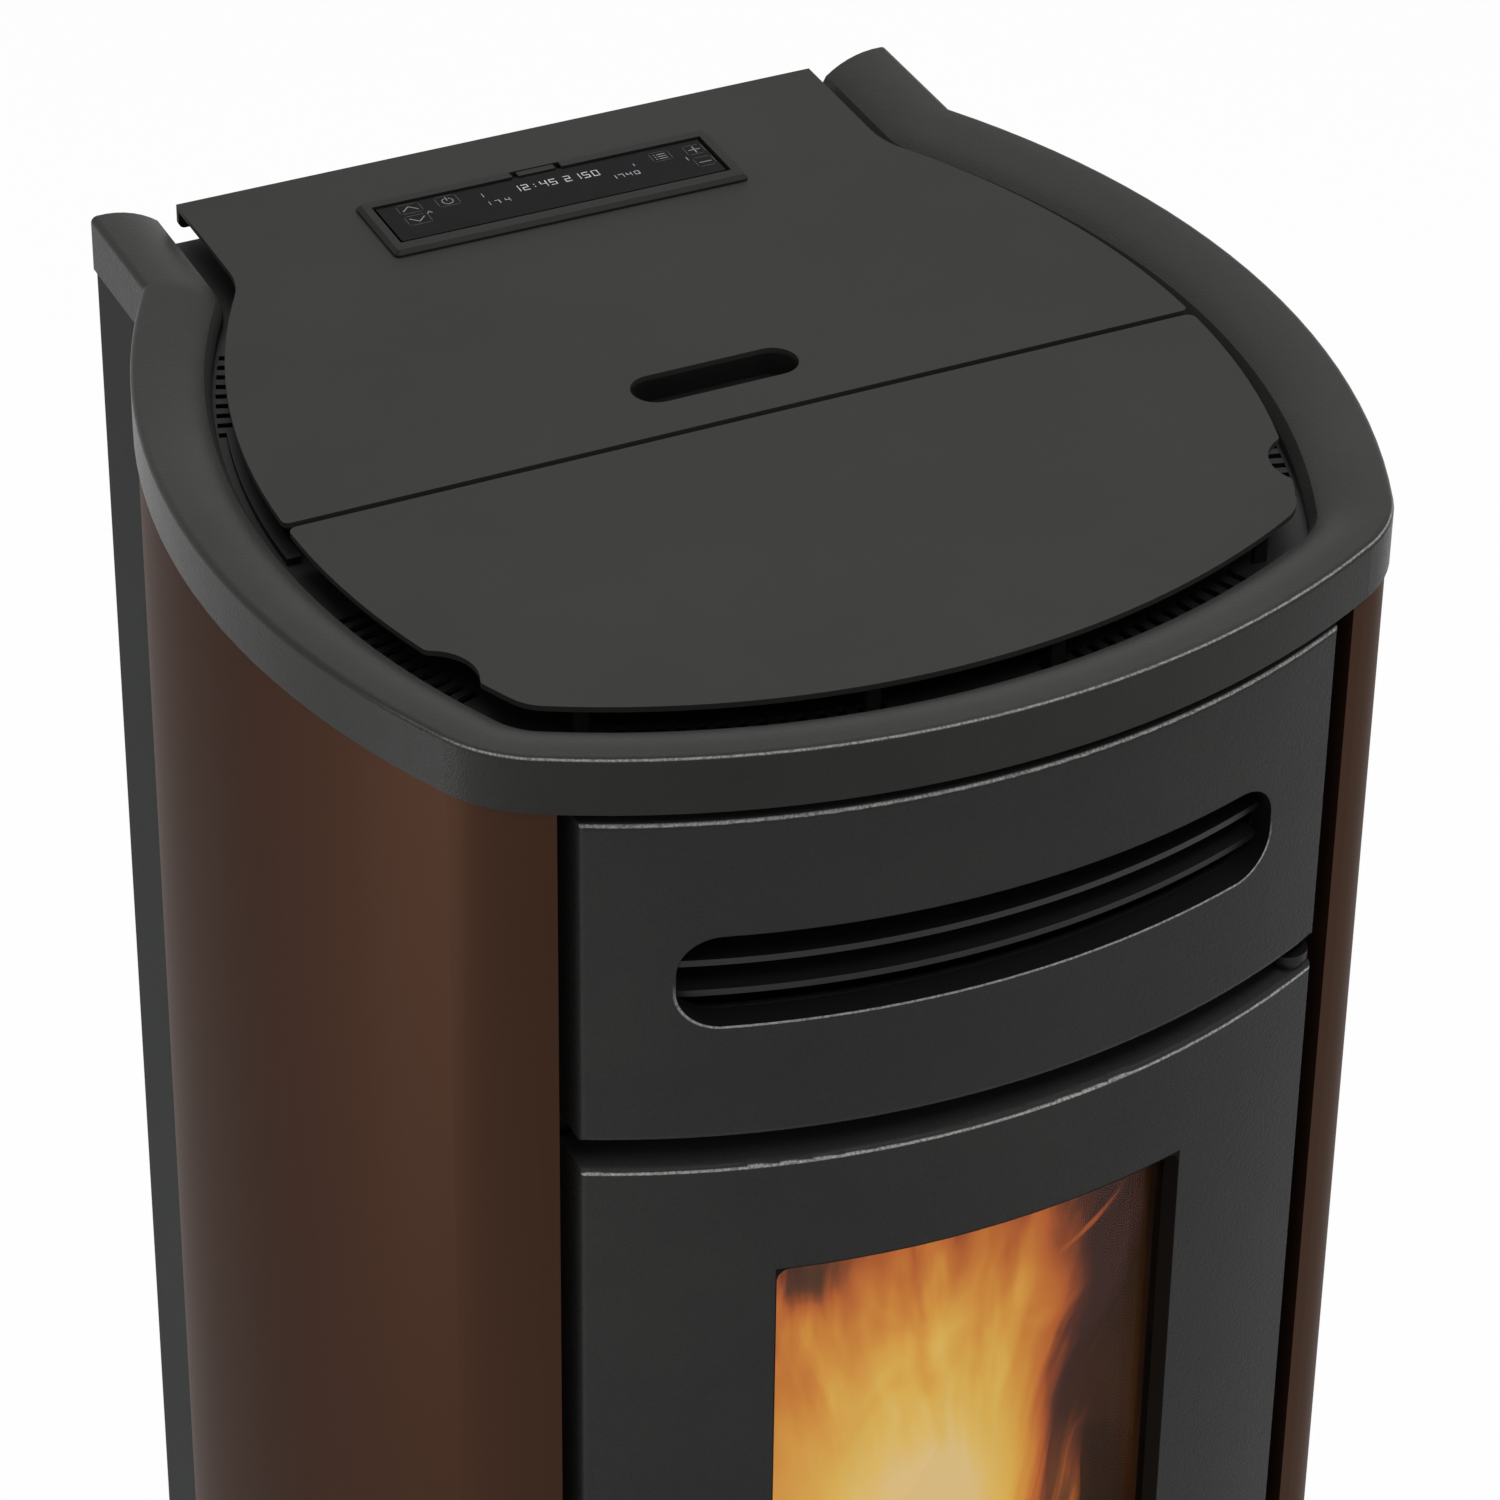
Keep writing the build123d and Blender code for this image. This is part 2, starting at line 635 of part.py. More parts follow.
with BuildPart() as firebox_box:
    with BuildSketch(Plane.XY.offset(box_bottom)):
        add(rect(-box_half, box_half, y_seal + flange_thick, y_box))
    extrude(amount=box_top - box_bottom)
    with BuildSketch(Plane.XY.offset(box_bottom + box_wall)):
        add(rect(-box_half + box_wall, box_half - box_wall, y_seal + flange_thick, y_box - box_wall))
    extrude(amount=box_top - box_bottom - 2 * box_wall, mode=Mode.SUBTRACT)
    with BuildSketch(Plane.XY.offset(box_bottom)):
        add(rect(-floor_half, floor_half, y_front + floor_front, y_front + floor_rear))
    extrude(amount=box_wall, mode=Mode.SUBTRACT)
    with BuildSketch(Plane.XY.offset(box_top)):
        add(rect(-box_half + 18, box_half - 18, exchange_front + 12, y_exchange - 8))
    extrude(amount=-box_wall, mode=Mode.SUBTRACT)
    with BuildSketch(cross_plane(y_box)):
        add(rect(-chute_half, chute_half, chute_mid_z - 40, chute_mid_z + 40))
        with Locations((0, igniter_z)):
            Circle(igniter_r + 3)
        with Locations((intake_x, intake_z)):
            Circle(intake_bore_r)
    extrude(amount=box_wall, mode=Mode.SUBTRACT)

with BuildPart() as intake_pipe:
    with BuildSketch(cross_plane(y_box, intake_z)):
        with Locations((intake_x, 0)):
            Circle(intake_r + 9)
    extrude(amount=-plate)
    with BuildSketch(cross_plane(y_box, intake_z)):
        with Locations((intake_x, 0)):
            Circle(intake_r - pipe_step)
    extrude(amount=-(y_rear - y_box))
    with BuildSketch(cross_plane(y_rear, intake_z)):
        with Locations((intake_x, 0)):
            Circle(intake_r)
    extrude(amount=-intake_out)
    with BuildSketch(cross_plane(y_box, intake_z)):
        with Locations((intake_x, 0)):
            Circle(intake_bore_r)
    extrude(amount=-(y_rear + intake_out - y_box), mode=Mode.SUBTRACT)
finish_welded([firebox_front, firebox_box, intake_pipe], "firebox_shell")

liner_half = box_half - 12
liner_low = holder_level + 5
liner_top = box_top - 85
liner_thick = 9.0
rib_rise = 4.0
rib_pitch = 20.0
y_liner = y_box - box_wall

with BuildPart() as firebox_liner:
    with BuildSketch(cross_plane(y_liner)):
        add(rect(-liner_half, liner_half, liner_low, liner_top, 4))
    extrude(amount=liner_thick)
    with BuildSketch(Plane.XY.offset(liner_low + 8)):
        with Locations((0, y_liner - liner_thick)):
            with GridLocations(rib_pitch, 1, int(2 * (liner_half - 10) / rib_pitch) + 1, 1):
                Trapezoid(9, 2 * rib_rise, 66, rotation=180)
    extrude(amount=liner_top - liner_low - 16)
    with BuildSketch(cross_plane(y_liner)):
        add(rect(-chute_half - 1, chute_half + 1, chute_mid_z - 52, chute_mid_z + 42))
        with Locations((0, igniter_z)):
            Circle(igniter_r + 4)
    extrude(amount=liner_thick + 2 * rib_rise, mode=Mode.SUBTRACT)
finish(firebox_liner, "firebox_liner")

pot_y = y_front + pot_back
ash_slot = 62.0            # ash opening of the holder plate ahead of the pot
holder_thick = 5.0

with BuildPart() as brazier_holder:
    with BuildSketch(Plane.XY.offset(holder_level)):
        inner = box_half - box_wall
        add(rect(-inner, inner, y_seal + flange_thick, y_liner))
        add(rect(-pot_half_x - 1, pot_half_x + 1, pot_y - pot_half_y - 1, pot_y + pot_half_y + 1),
            mode=Mode.SUBTRACT)
        add(rect(-inner + 30, inner - 30, y_seal + 18, y_seal + 18 + ash_slot, 6), mode=Mode.SUBTRACT)
    extrude(amount=holder_thick)
finish(brazier_holder, "brazier_holder")

with BuildPart() as brazier:
    rim_z = holder_level + holder_thick + running
    with BuildSketch(Plane.XY.offset(rim_z)):
        add(rect(-pot_half_x - 8, pot_half_x + 8, pot_y - pot_half_y - 8, pot_y + pot_half_y + 8, 6))
    extrude(amount=4)
    with BuildSketch(Plane.XY.offset(rim_z + 4)):
        add(rect(-pot_half_x + 1, pot_half_x - 1, pot_y - pot_half_y + 1, pot_y + pot_half_y - 1, 8))
    extrude(amount=-pot_depth, taper=6)
    with BuildSketch(Plane.XY.offset(rim_z + 4)):
        add(rect(-pot_half_x + 5, pot_half_x - 5, pot_y - pot_half_y + 5, pot_y + pot_half_y - 5, 5))
    extrude(amount=-pot_depth + 5, taper=6, mode=Mode.SUBTRACT)
    with BuildSketch(Plane.XY.offset(rim_z + 4 - pot_depth)):
        with Locations((0, pot_y)):
            with GridLocations(13, 13, 5, 4):
                Circle(2.5)
    extrude(amount=6, mode=Mode.SUBTRACT)
    with BuildSketch(cross_plane(pot_y + pot_half_y + 10, igniter_z - 26)):
        Circle(igniter_r + 1.5)
    extrude(amount=20, mode=Mode.SUBTRACT)
finish(brazier, "brazier")

with BuildPart() as igniter:
    with BuildSketch(cross_plane(y_liner - liner_thick - 2, igniter_z)):
        Circle(igniter_r)
    extrude(amount=-90)
    with BuildSketch(cross_plane(y_box, igniter_z)):
        Circle(igniter_r + 9)
    extrude(amount=-3)
finish(igniter, "igniter")

baffle_front = 130.0
baffle_thick = 8.0
with BuildPart() as smoke_baffle:
    with BuildSketch(side_plane(-box_half + box_wall + 1)):
        with BuildLine():
            y0, y1 = y_front + baffle_front, y_liner
            Polyline((y1, liner_top), (y1, liner_top + baffle_thick), (y1 - 12, liner_top + baffle_thick),
                     (y0, liner_top + 45 + baffle_thick), (y0, liner_top + 45), (y1 - 12, liner_top),
                     close=True)
        make_face()
    extrude(amount=2 * (box_half - box_wall - 1))
finish(smoke_baffle, "smoke_baffle")

tube_rows = ((vent_mid, 7), (vent_mid - tube_pitch, 6))
window_in = 10.0           # gas window to the flue channel inside the exchanger's corners
window_tall = 34.0
with BuildPart() as exchanger_hood:
    with BuildSketch(Plane.XY.offset(box_top)):
        add(rect(-box_half, box_half, exchange_front + plate, y_exchange - plate))
    extrude(amount=exchange_top - box_top)
    with BuildSketch(Plane.XY.offset(box_top)):
        add(rect(-box_half + plate, box_half - plate, exchange_front + plate, y_exchange - plate))
    extrude(amount=exchange_top - box_top - plate, mode=Mode.SUBTRACT)
    with BuildSketch(side_plane(box_half)):
        add(rect(channel_y0 + window_in - 2, y_exchange - window_in, box_top + 6,
                 box_top + 6 + window_tall))
    extrude(amount=-plate, mode=Mode.SUBTRACT)

with BuildPart() as exchanger_plates:
    for y in (exchange_front, y_exchange - plate):
        with BuildSketch(cross_plane(y)):
            add(rect(-box_half, box_half, box_top, exchange_top))
            for row, count in tube_rows:
                with Locations((0, row)):
                    with GridLocations(tube_pitch, 1, count, 1):
                        Circle(tube_r - sheet, mode=Mode.SUBTRACT)
        extrude(amount=-plate)

with BuildPart() as exchanger_tubes:
    for row, count in tube_rows:
        with BuildSketch(cross_plane(exchange_front + plate, row)):
            with GridLocations(tube_pitch, 1, count, 1):
                Circle(tube_r)
            with GridLocations(tube_pitch, 1, count, 1):
                Circle(tube_r - sheet, mode=Mode.SUBTRACT)
        extrude(amount=-(y_exchange - exchange_front - 2 * plate))

with BuildPart() as air_collar:
    with BuildSketch(cross_plane(exchange_front, hood_mid)):
        RectangleRounded(2 * hood_half, 2 * hood_tall, 6)
        RectangleRounded(2 * (hood_half - sheet), 2 * (hood_tall - sheet), 4.5, mode=Mode.SUBTRACT)
    extrude(amount=exchange_front - y_cast)
    with BuildSketch(cross_plane(exchange_front, hood_mid)):
        RectangleRounded(2 * hood_half, 2 * hood_tall, 6)
        Rectangle(2 * box_half - 22, 2 * hood_tall - 8, mode=Mode.SUBTRACT)
    extrude(amount=sheet)
finish_welded([exchanger_hood, exchanger_plates, exchanger_tubes, air_collar], "heat_exchanger")

# ================================================================ fire door
window_top = door_top - window_drop
window_mid = window_top - window_height / 2
door_mid = (door_top + door_bottom) / 2
y_rim = y_front + glass_plane
y_glass0 = y_rim + gasket_thick
y_glass1 = y_glass0 + glass_thick
y_hinge = y_front + hinge_back
seal_stand = 8.0           # rope rib ahead of the firebox flange
rib_wide = 12.0
rope_squash = 0.3
y_rib = y_seal - seal_stand
rope_half_z = door_height / 2 - rope_margin
bore_depth = 22.0
handle_z = door_bottom + handle_up
pad_r = 14.0
pad_face = y_front + 23.0
spindle_boss_r = 9.0
spindle_boss_end = y_front + 55.0
clip_z = window_height / 2 - 30
clip_x = 113.0
clip_boss_r = 5.0


def ring_band(half_x, half_z, wide, corner, y0, y1, mid):
    """Rectangular ring along Y, its centre line at half_x and half_z."""
    with BuildPart(mode=Mode.PRIVATE) as ring:
        with BuildSketch(cross_plane(y0, mid)):
            RectangleRounded(2 * half_x + wide, 2 * half_z + wide, corner + wide / 2)
            RectangleRounded(2 * half_x - wide, 2 * half_z - wide, corner - wide / 2, mode=Mode.SUBTRACT)
        extrude(amount=y0 - y1)
    return ring.part


def behind_face(depth):
    """Block behind the bowed surface at depth."""
    with BuildPart(mode=Mode.PRIVATE) as block:
        with BuildSketch(Plane.XY.offset(drawer_bottom)):
            add(bowed(face_half - 1, depth, y_seal))
        extrude(amount=door_top - drawer_bottom)
    return block.part


with BuildPart() as door_casting:
    add(bowed_shell(door_bottom, door_top))
    add(ring_band(window_half + rim_wide / 2, window_height / 2 + rim_wide / 2, rim_wide, 12,
                  y_front, y_rim, window_mid) & behind_face(2))
    add(ring_band(rope_half, rope_half_z, rib_wide, 14, y_front, y_rib, door_mid) & behind_face(2))
    for x in (-clip_x, clip_x):
        with BuildSketch(cross_plane(y_glass1, window_mid)):
            with Locations((x, clip_z), (x, -clip_z)):
                Circle(clip_boss_r)
        extrude(amount=y_glass1 - inside_face(clip_x) + 2)
    for z in (door_bottom, door_top - lug_height):
        with BuildSketch(Plane.XY.offset(z)):
            with Locations((hinge_x, y_hinge)):
                Circle(lug_r)
        extrude(amount=lug_height)
    with BuildSketch(cross_plane(pad_face, handle_z)):
        with Locations((-handle_x, 0)):
            Circle(pad_r)
    extrude(amount=pad_face - inside_face(handle_x))
    with BuildSketch(cross_plane(spindle_boss_end, handle_z)):
        with Locations((-handle_x, 0)):
            Circle(spindle_boss_r)
    extrude(amount=spindle_boss_end - inside_face(handle_x) + 2)
    with BuildSketch(cross_plane(y_front - 10, window_mid)):
        RectangleRounded(2 * window_half, window_height, window_corner)
    extrude(amount=-60, mode=Mode.SUBTRACT)
    add(ring_band(rope_half, rope_half_z, rope_wide, 14, y_rib - rope_groove, y_rib, door_mid),
        mode=Mode.SUBTRACT)
    for z, up in ((door_bottom, bore_depth), (door_top, -bore_depth)):
        with BuildSketch(Plane.XY.offset(z)):
            with Locations((hinge_x, y_hinge)):
                Circle(pin_r + pin_play)
        extrude(amount=up, mode=Mode.SUBTRACT)
    with BuildSketch(cross_plane(y_front, handle_z)):
        with Locations((-handle_x, 0)):
            Circle(spindle_r + pin_play)
    extrude(amount=-(spindle_boss_end - y_front), mode=Mode.SUBTRACT)
finish(door_casting, "door_casting")

with BuildPart() as door_rope:
    add(ring_band(rope_half, rope_half_z, rope_wide, 14, y_rib - rope_groove, y_seal - rope_squash,
                  door_mid))
    fillet(door_rope.faces().sort_by(Axis.Y)[-1].edges(), 2.5)
finish(door_rope, "door_rope")

with BuildPart() as glass_gasket:
    add(ring_band(window_half + glass_lap / 2, window_height / 2 + glass_lap / 2, glass_lap - 2, 6,
                  y_rim, y_glass0, window_mid))
finish(glass_gasket, "glass_gasket")

with BuildPart() as door_glass:
    with BuildSketch(cross_plane(y_glass0, window_mid)):
        RectangleRounded(2 * (window_half + glass_lap), window_height + 2 * glass_lap, 3)
    extrude(amount=-glass_thick)
finish(door_glass, "door_glass")

with BuildPart() as glass_clips:
    for x in (-clip_x, clip_x):
        with BuildSketch(cross_plane(y_glass1, window_mid)):
            with Locations((x * 0.967, clip_z), (x * 0.967, -clip_z)):
                Rectangle(20, 14)
        extrude(amount=-plate)
        with BuildSketch(cross_plane(y_glass1 + plate, window_mid)):
            with Locations((x, clip_z), (x, -clip_z)):
                Circle(4)
        extrude(amount=-2.5)
finish(glass_clips, "glass_clips")

# ---------------------------------------------------------------- door hinge
bronze_x = 177.7           # front edge of the bronze panels
post_x0 = flange_half
post_x1 = bronze_x - 1.7
leaf_half = 9.0
leaf_thick = 4.0
leaf_gap = 4.0             # leaf clear of the castings
foot_tall = 24.0
collar_r = 7.0
with BuildPart() as door_hinge_brackets:
    for z0, up, edge in ((door_top + leaf_gap, 1, door_top), (door_bottom - leaf_gap - 2, -1, door_bottom)):
        with BuildSketch(Plane.XY.offset(z0)):
            with Locations((hinge_x, y_hinge)):
                Circle(leaf_half)
            add(rect(hinge_x - leaf_half, hinge_x + leaf_half, y_hinge, y_seal))
        extrude(amount=up * leaf_thick)
        with BuildSketch(Plane.XY.offset(z0)):
            add(rect(hinge_x - leaf_half, hinge_x + leaf_half, y_seal - plate, y_seal))
        extrude(amount=up * foot_tall)
        with BuildSketch(Plane.XY.offset(z0)):
            with Locations((hinge_x, y_hinge)):
                Circle(collar_r)
        extrude(amount=edge - z0 + up * running)
        with BuildSketch(Plane.XY.offset(z0)):
            with Locations((hinge_x, y_hinge)):
                Circle(pin_r)
        extrude(amount=edge - z0 - up * (bore_depth - 2))
finish(door_hinge_brackets, "door_hinge_brackets")

# ---------------------------------------------------------------- door handle, cam and keeper
hub_r = 12.0
y_hub1 = pad_face - running
y_hub0 = y_hub1 - 9.2
grip_thick = 8.0
grip_long = 105.0
grip_wide = 18.0
cam_y0 = spindle_boss_end + running
cam_thick = 6.0
cam_reach = 18.0
cam_tall = 12.0
keeper_wide = 10.0
keeper_drop = 12.0         # keeper's shelf below the spindle
keeper_rise = 8.0          # keeper's lip above the spindle

with BuildPart() as door_handle:
    with BuildSketch(cross_plane(y_hub0, handle_z)):
        with Locations((-handle_x, 0)):
            Circle(hub_r)
    extrude(amount=-(y_hub1 - y_hub0))
    with BuildSketch(cross_plane(y_hub0 + 2, handle_z)):
        with BuildLine():
            l1 = Line((-handle_x - grip_wide / 2 + 2, -grip_long + 8), (-handle_x - hub_r, 0))
            l2 = ThreePointArc(l1 @ 1, (-handle_x, hub_r), (-handle_x + hub_r, 0))
            l3 = Line(l2 @ 1, (-handle_x + grip_wide / 2 - 2, -grip_long + 8))
            ThreePointArc(l3 @ 1, (-handle_x, -grip_long), l1 @ 0)
        make_face()
    extrude(amount=grip_thick + 2)
    fillet(door_handle.faces().sort_by(Axis.Y)[0].edges(), 2.5)
    with BuildSketch(cross_plane(y_hub0 + 1, handle_z)):
        with Locations((-handle_x, 0)):
            Circle(spindle_r + pin_play)
    extrude(amount=-(y_hub1 - y_hub0), mode=Mode.SUBTRACT)
finish(door_handle, "door_handle")

with BuildPart() as latch_cam:
    with BuildSketch(cross_plane(y_hub0 + 1, handle_z)):
        with Locations((-handle_x, 0)):
            Circle(spindle_r)
    extrude(amount=-(cam_y0 + cam_thick - y_hub0 - 1))
    with BuildSketch(cross_plane(cam_y0, handle_z)):
        with Locations((-handle_x, 0)):
            Circle(8)
        add(rect(-handle_x - cam_reach, -handle_x, -cam_tall / 2, cam_tall / 2))
    extrude(amount=-cam_thick)
finish(latch_cam, "latch_cam")

with BuildPart() as door_keeper:
    with BuildSketch(side_plane(-post_x0 - keeper_wide)):
        with BuildLine():
            lip = cam_y0 - running
            low = handle_z - keeper_drop - 2.5
            Polyline((y_seal, low - 14), (y_seal, low + 2.5), (lip, low + 2.5),
                     (lip, handle_z + keeper_rise), (lip - 2.5, handle_z + keeper_rise), (lip - 2.5, low),
                     (y_seal - plate, low), (y_seal - plate, low - 14), close=True)
        make_face()
    extrude(amount=keeper_wide)
finish(door_keeper, "door_keeper")

# ================================================================ ash drawer
pan_half = 124.5
pan_bottom = 160.3
pan_top = box_bottom - 30
pan_y1 = y_box - 6
stay_x = 100.0
stay_in = 30.0              # bosses that carry the front, inside the pan's bottom and top
housing_half = 128.0
housing_floor = 146.0
rail_x = 112.0
grip_half = 60.0           # finger slot in the drawer front's top return
grip_depth = 20.0

with BuildPart() as ash_drawer_front:
    add(bowed_shell(drawer_bottom, drawer_top))
    with BuildSketch(cross_plane(y_cast, pan_bottom)):
        for up in (stay_in, pan_top - pan_bottom - stay_in):
            with Locations((stay_x, up), (-stay_x, up)):
                Circle(boss_r)
    extrude(amount=y_cast - inside_face(stay_x) + 2)
    with BuildSketch(Plane.XY.offset(drawer_top)):
        add(rect(-grip_half, grip_half, inside_face(grip_half), inside_face(grip_half) + grip_depth, 6))
    extrude(amount=-cast_wall, mode=Mode.SUBTRACT)
finish(ash_drawer_front, "ash_drawer_front")

with BuildPart() as ash_drawer_pan:
    with BuildSketch(Plane.XY.offset(pan_bottom)):
        add(rect(-pan_half, pan_half, y_cast, pan_y1, 4))
    extrude(amount=pan_top - pan_bottom)
    with BuildSketch(Plane.XY.offset(pan_bottom + sheet)):
        add(rect(-pan_half + sheet, pan_half - sheet, y_cast + sheet, pan_y1 - sheet, 2.5))
    extrude(amount=pan_top - pan_bottom, mode=Mode.SUBTRACT)
finish(ash_drawer_pan, "ash_drawer_pan")

with BuildPart() as ash_housing:
    with BuildSketch(Plane.XY.offset(base_level)):
        add(rect(-housing_half, housing_half, y_seal, y_box))
        add(rect(-housing_half + plate, housing_half - plate, y_seal, y_box - plate), mode=Mode.SUBTRACT)
    extrude(amount=box_bottom - base_level)
    with BuildSketch(Plane.XY.offset(housing_floor)):
        add(rect(-housing_half + plate, housing_half - plate, y_seal, y_box - plate))
    extrude(amount=plate)
    for side in (-1, 1):
        with BuildSketch(cross_plane(y_seal, housing_floor)):
            x0, x1, up = side * rail_x, side * (housing_half - plate), pan_bottom - running - housing_floor
            with BuildLine():
                Polyline((x0, plate), (x0, up), (x1, up), (x1, up - plate), (x0 + side * plate, up - plate),
                         (x0 + side * plate, plate), close=True)
            make_face()
        extrude(amount=-(y_box - plate - y_seal))
finish(ash_housing, "ash_housing")

# ================================================================ frame, base and feet
base_inset = 3.3
kick_inset = 12.0
kick_half = 170.0
kick_top = 112.0
front_foot_x, front_foot_y = 160.0, -170.0
rear_foot_x, rear_foot_y = 150.0, 200.0
stud_r = 5.0
foot_r = 22.0
nut_r = 10.0
nut_tall = 12.0
foot_spots = {
    "foot_front_right": (front_foot_x, front_foot_y),
    "foot_front_left": (-front_foot_x, front_foot_y),
    "foot_rear_right": (rear_foot_x, rear_foot_y),
    "foot_rear_left": (-rear_foot_x, rear_foot_y),
}

with BuildPart() as base_plate:
    with BuildSketch(Plane.XY.offset(base_level)):
        add(plan(base_inset, y_rear - sheet - running))
    extrude(amount=-plate)
    with BuildSketch(Plane.XY.offset(base_level)):
        add(plan(base_inset, y_rear - sheet - running))
        add(plan(base_inset + plate, y_rear - sheet - running - plate), mode=Mode.SUBTRACT)
    extrude(amount=-skirt_height)
    with BuildSketch(Plane.XY.offset(base_level)):
        add(plan(kick_inset))
        add(plan(kick_inset + sheet), mode=Mode.SUBTRACT)
        add(rect(-kick_half, kick_half, y_front, y_cast), mode=Mode.INTERSECT)
    extrude(amount=kick_top - base_level)
    with BuildSketch(Plane.XY.offset(base_level)):
        with Locations(*foot_spots.values()):
            Circle(nut_r)
    extrude(amount=nut_tall)
    with BuildSketch(Plane.XY.offset(base_level - plate)):
        with Locations(*foot_spots.values()):
            Circle(stud_r + pin_play)
    extrude(amount=plate + nut_tall, mode=Mode.SUBTRACT)
finish(base_plate, "base_plate")

for label, (x, y) in foot_spots.items():
    with BuildPart() as foot:
        with BuildSketch(Plane.XY):
            with Locations((x, y)):
                Circle(foot_r)
        extrude(amount=7)
        with BuildSketch(Plane.XY.offset(7)):
            with Locations((x, y)):
                Circle(foot_r - 3)
        extrude(amount=7, taper=45)
        with BuildSketch(Plane.XY.offset(14)):
            with Locations((x, y)):
                RegularPolygon(8, 6, major_radius=False)
        extrude(amount=9)
        with BuildSketch(Plane.XY.offset(14)):
            with Locations((x, y)):
                Circle(stud_r)
        extrude(amount=base_level + nut_tall - 8)
    finish(foot, label)

with BuildPart() as front_post_right:
    with BuildSketch(Plane.XY.offset(base_level)):
        with BuildLine():
            Polyline((post_x0, y_seal), (post_x1, y_seal), (post_x1, y_seal + 40),
                     (post_x1 - plate, y_seal + 40),
                     (post_x1 - plate, y_seal + plate), (post_x0 + plate, y_seal + plate),
                     (post_x0 + plate, y_seal + 20), (post_x0, y_seal + 20), close=True)
        make_face()
    extrude(amount=tray_top - plate - base_level)
finish(front_post_right, "front_post_right")
mirrored(front_post_right, "front_post_left")

# ================================================================ casing panels
panel_bottom = base_level - 16
rear_plane = y_rear - 2 * sheet
rear_screw_x = 180.0
rear_screw_z = (100.0, 330.0, 560.0, 790.0, 1000.0)
rear_screw_r = 2.0
bronze_tab = 169.6

with BuildPart() as bronze_panel_right:
    with BuildSketch(Plane.XY.offset(panel_bottom)):
        add(plan(skin_inset))
        add(plan(skin_inset + sheet), mode=Mode.SUBTRACT)
        add(rect(bronze_x, half_width, y_front, kink_y), mode=Mode.INTERSECT)
    extrude(amount=ring_bottom - panel_bottom)
    with BuildSketch(Plane.XY.offset(base_level)):
        edge_y = front_y - sqrt((front_r - skin_inset - 1) ** 2 - bronze_x**2)
        add(rect(bronze_x, bronze_x + sheet, edge_y, y_seal))
        add(rect(bronze_tab, bronze_x + sheet, y_seal - sheet, y_seal))
    extrude(amount=ring_bottom - base_level)
finish(bronze_panel_right, "bronze_panel_right")
mirrored(bronze_panel_right, "bronze_panel_left")

with BuildPart() as rear_side_panel_right:
    with BuildSketch(Plane.XY.offset(panel_bottom)):
        x1 = arm_half - skin_inset
        add(rect(x1 - sheet, x1, kink_y + running, y_rear))
        add(rect(x1 - 26, x1, y_rear - sheet, y_rear))
    extrude(amount=ring_bottom - panel_bottom)
    with BuildSketch(Plane.XY.offset(base_level)):
        add(rect(x1 - 14, x1, kink_y + running, kink_y + running + sheet))
    extrude(amount=ring_bottom - base_level)
    for z in rear_screw_z:
        with BuildSketch(cross_plane(y_rear, z)):
            with Locations((rear_screw_x, 0)):
                Circle(rear_screw_r)
        extrude(amount=sheet, mode=Mode.SUBTRACT)
finish(rear_side_panel_right, "rear_side_panel_right")
mirrored(rear_side_panel_right, "rear_side_panel_left")

# ================================================================ hopper
hopper_top = lid_level - 11.0
hopper_half = mouth_x - 0.5
hopper_y0 = y_mouth0 + 0.5
hopper_y1 = y_mouth1 - 0.5
hopper_back = 200.0
neck_z = 858.0             # where the walls start to close in
neck_y = 60.0
throat_z = 690.0
throat_half = 24.0
throat_y0, throat_y1 = auger_y - 24.0, auger_y + 24.0


def hopper_side(shrink):
    """Side profile of the hopper's upper part, shrunk inward; local x to the back, local y up."""
    with BuildSketch(mode=Mode.PRIVATE) as profile:
        with BuildLine():
            Polyline((hopper_y0, hopper_top), (hopper_y0, neck_z + 82), (neck_y, neck_z),
                     (hopper_back, neck_z), (hopper_back, hopper_top - 59), (hopper_y1, hopper_top - 8),
                     (hopper_y1, hopper_top), close=True)
        make_face()
        if shrink > 0:
            offset(amount=-shrink, kind=Kind.INTERSECTION)
    return profile.sketch


auger_axis = Plane(origin=(0, auger_y, auger_z), x_dir=(1, 0, 0), z_dir=(0, -1, 1))


def auger_bar(r, low, high):
    """Cylinder on the auger's axis between two distances along it."""
    with BuildPart(mode=Mode.PRIVATE) as bar:
        with BuildSketch(auger_axis.offset(low)):
            Circle(r)
        extrude(amount=high - low)
    return bar.part


def throat(shrink, low):
    """Upright duct above the auger, shrunk inward, down to height low."""
    with BuildPart(mode=Mode.PRIVATE) as duct:
        with BuildSketch(Plane.XY.offset(throat_z)):
            add(rect(-throat_half + shrink, throat_half - shrink, throat_y0 + shrink, throat_y1 - shrink))
        extrude(amount=low - throat_z)
    return duct.part


def hopper_body(shrink):
    """Hopper's outer form, or the room inside its walls."""
    with BuildPart(mode=Mode.PRIVATE) as body:
        with BuildSketch(side_plane(-hopper_half + shrink)):
            add(hopper_side(shrink))
        extrude(amount=2 * (hopper_half - shrink))
        with BuildSketch(Plane.XY.offset(neck_z + shrink)):
            add(rect(-hopper_half + shrink, hopper_half - shrink, neck_y + shrink, hopper_back - shrink))
        with BuildSketch(Plane.XY.offset(throat_z)):
            add(rect(-throat_half + shrink, throat_half - shrink, throat_y0 + shrink, throat_y1 - shrink))
        loft()
        add(throat(shrink, auger_z - 50))
        if shrink > 0:
            with BuildSketch(Plane.XY.offset(hopper_top + 1)):
                add(rect(-hopper_half + shrink, hopper_half - shrink, hopper_y0 + shrink,
                         hopper_y1 - shrink))
            extrude(amount=-10)
    return body.part


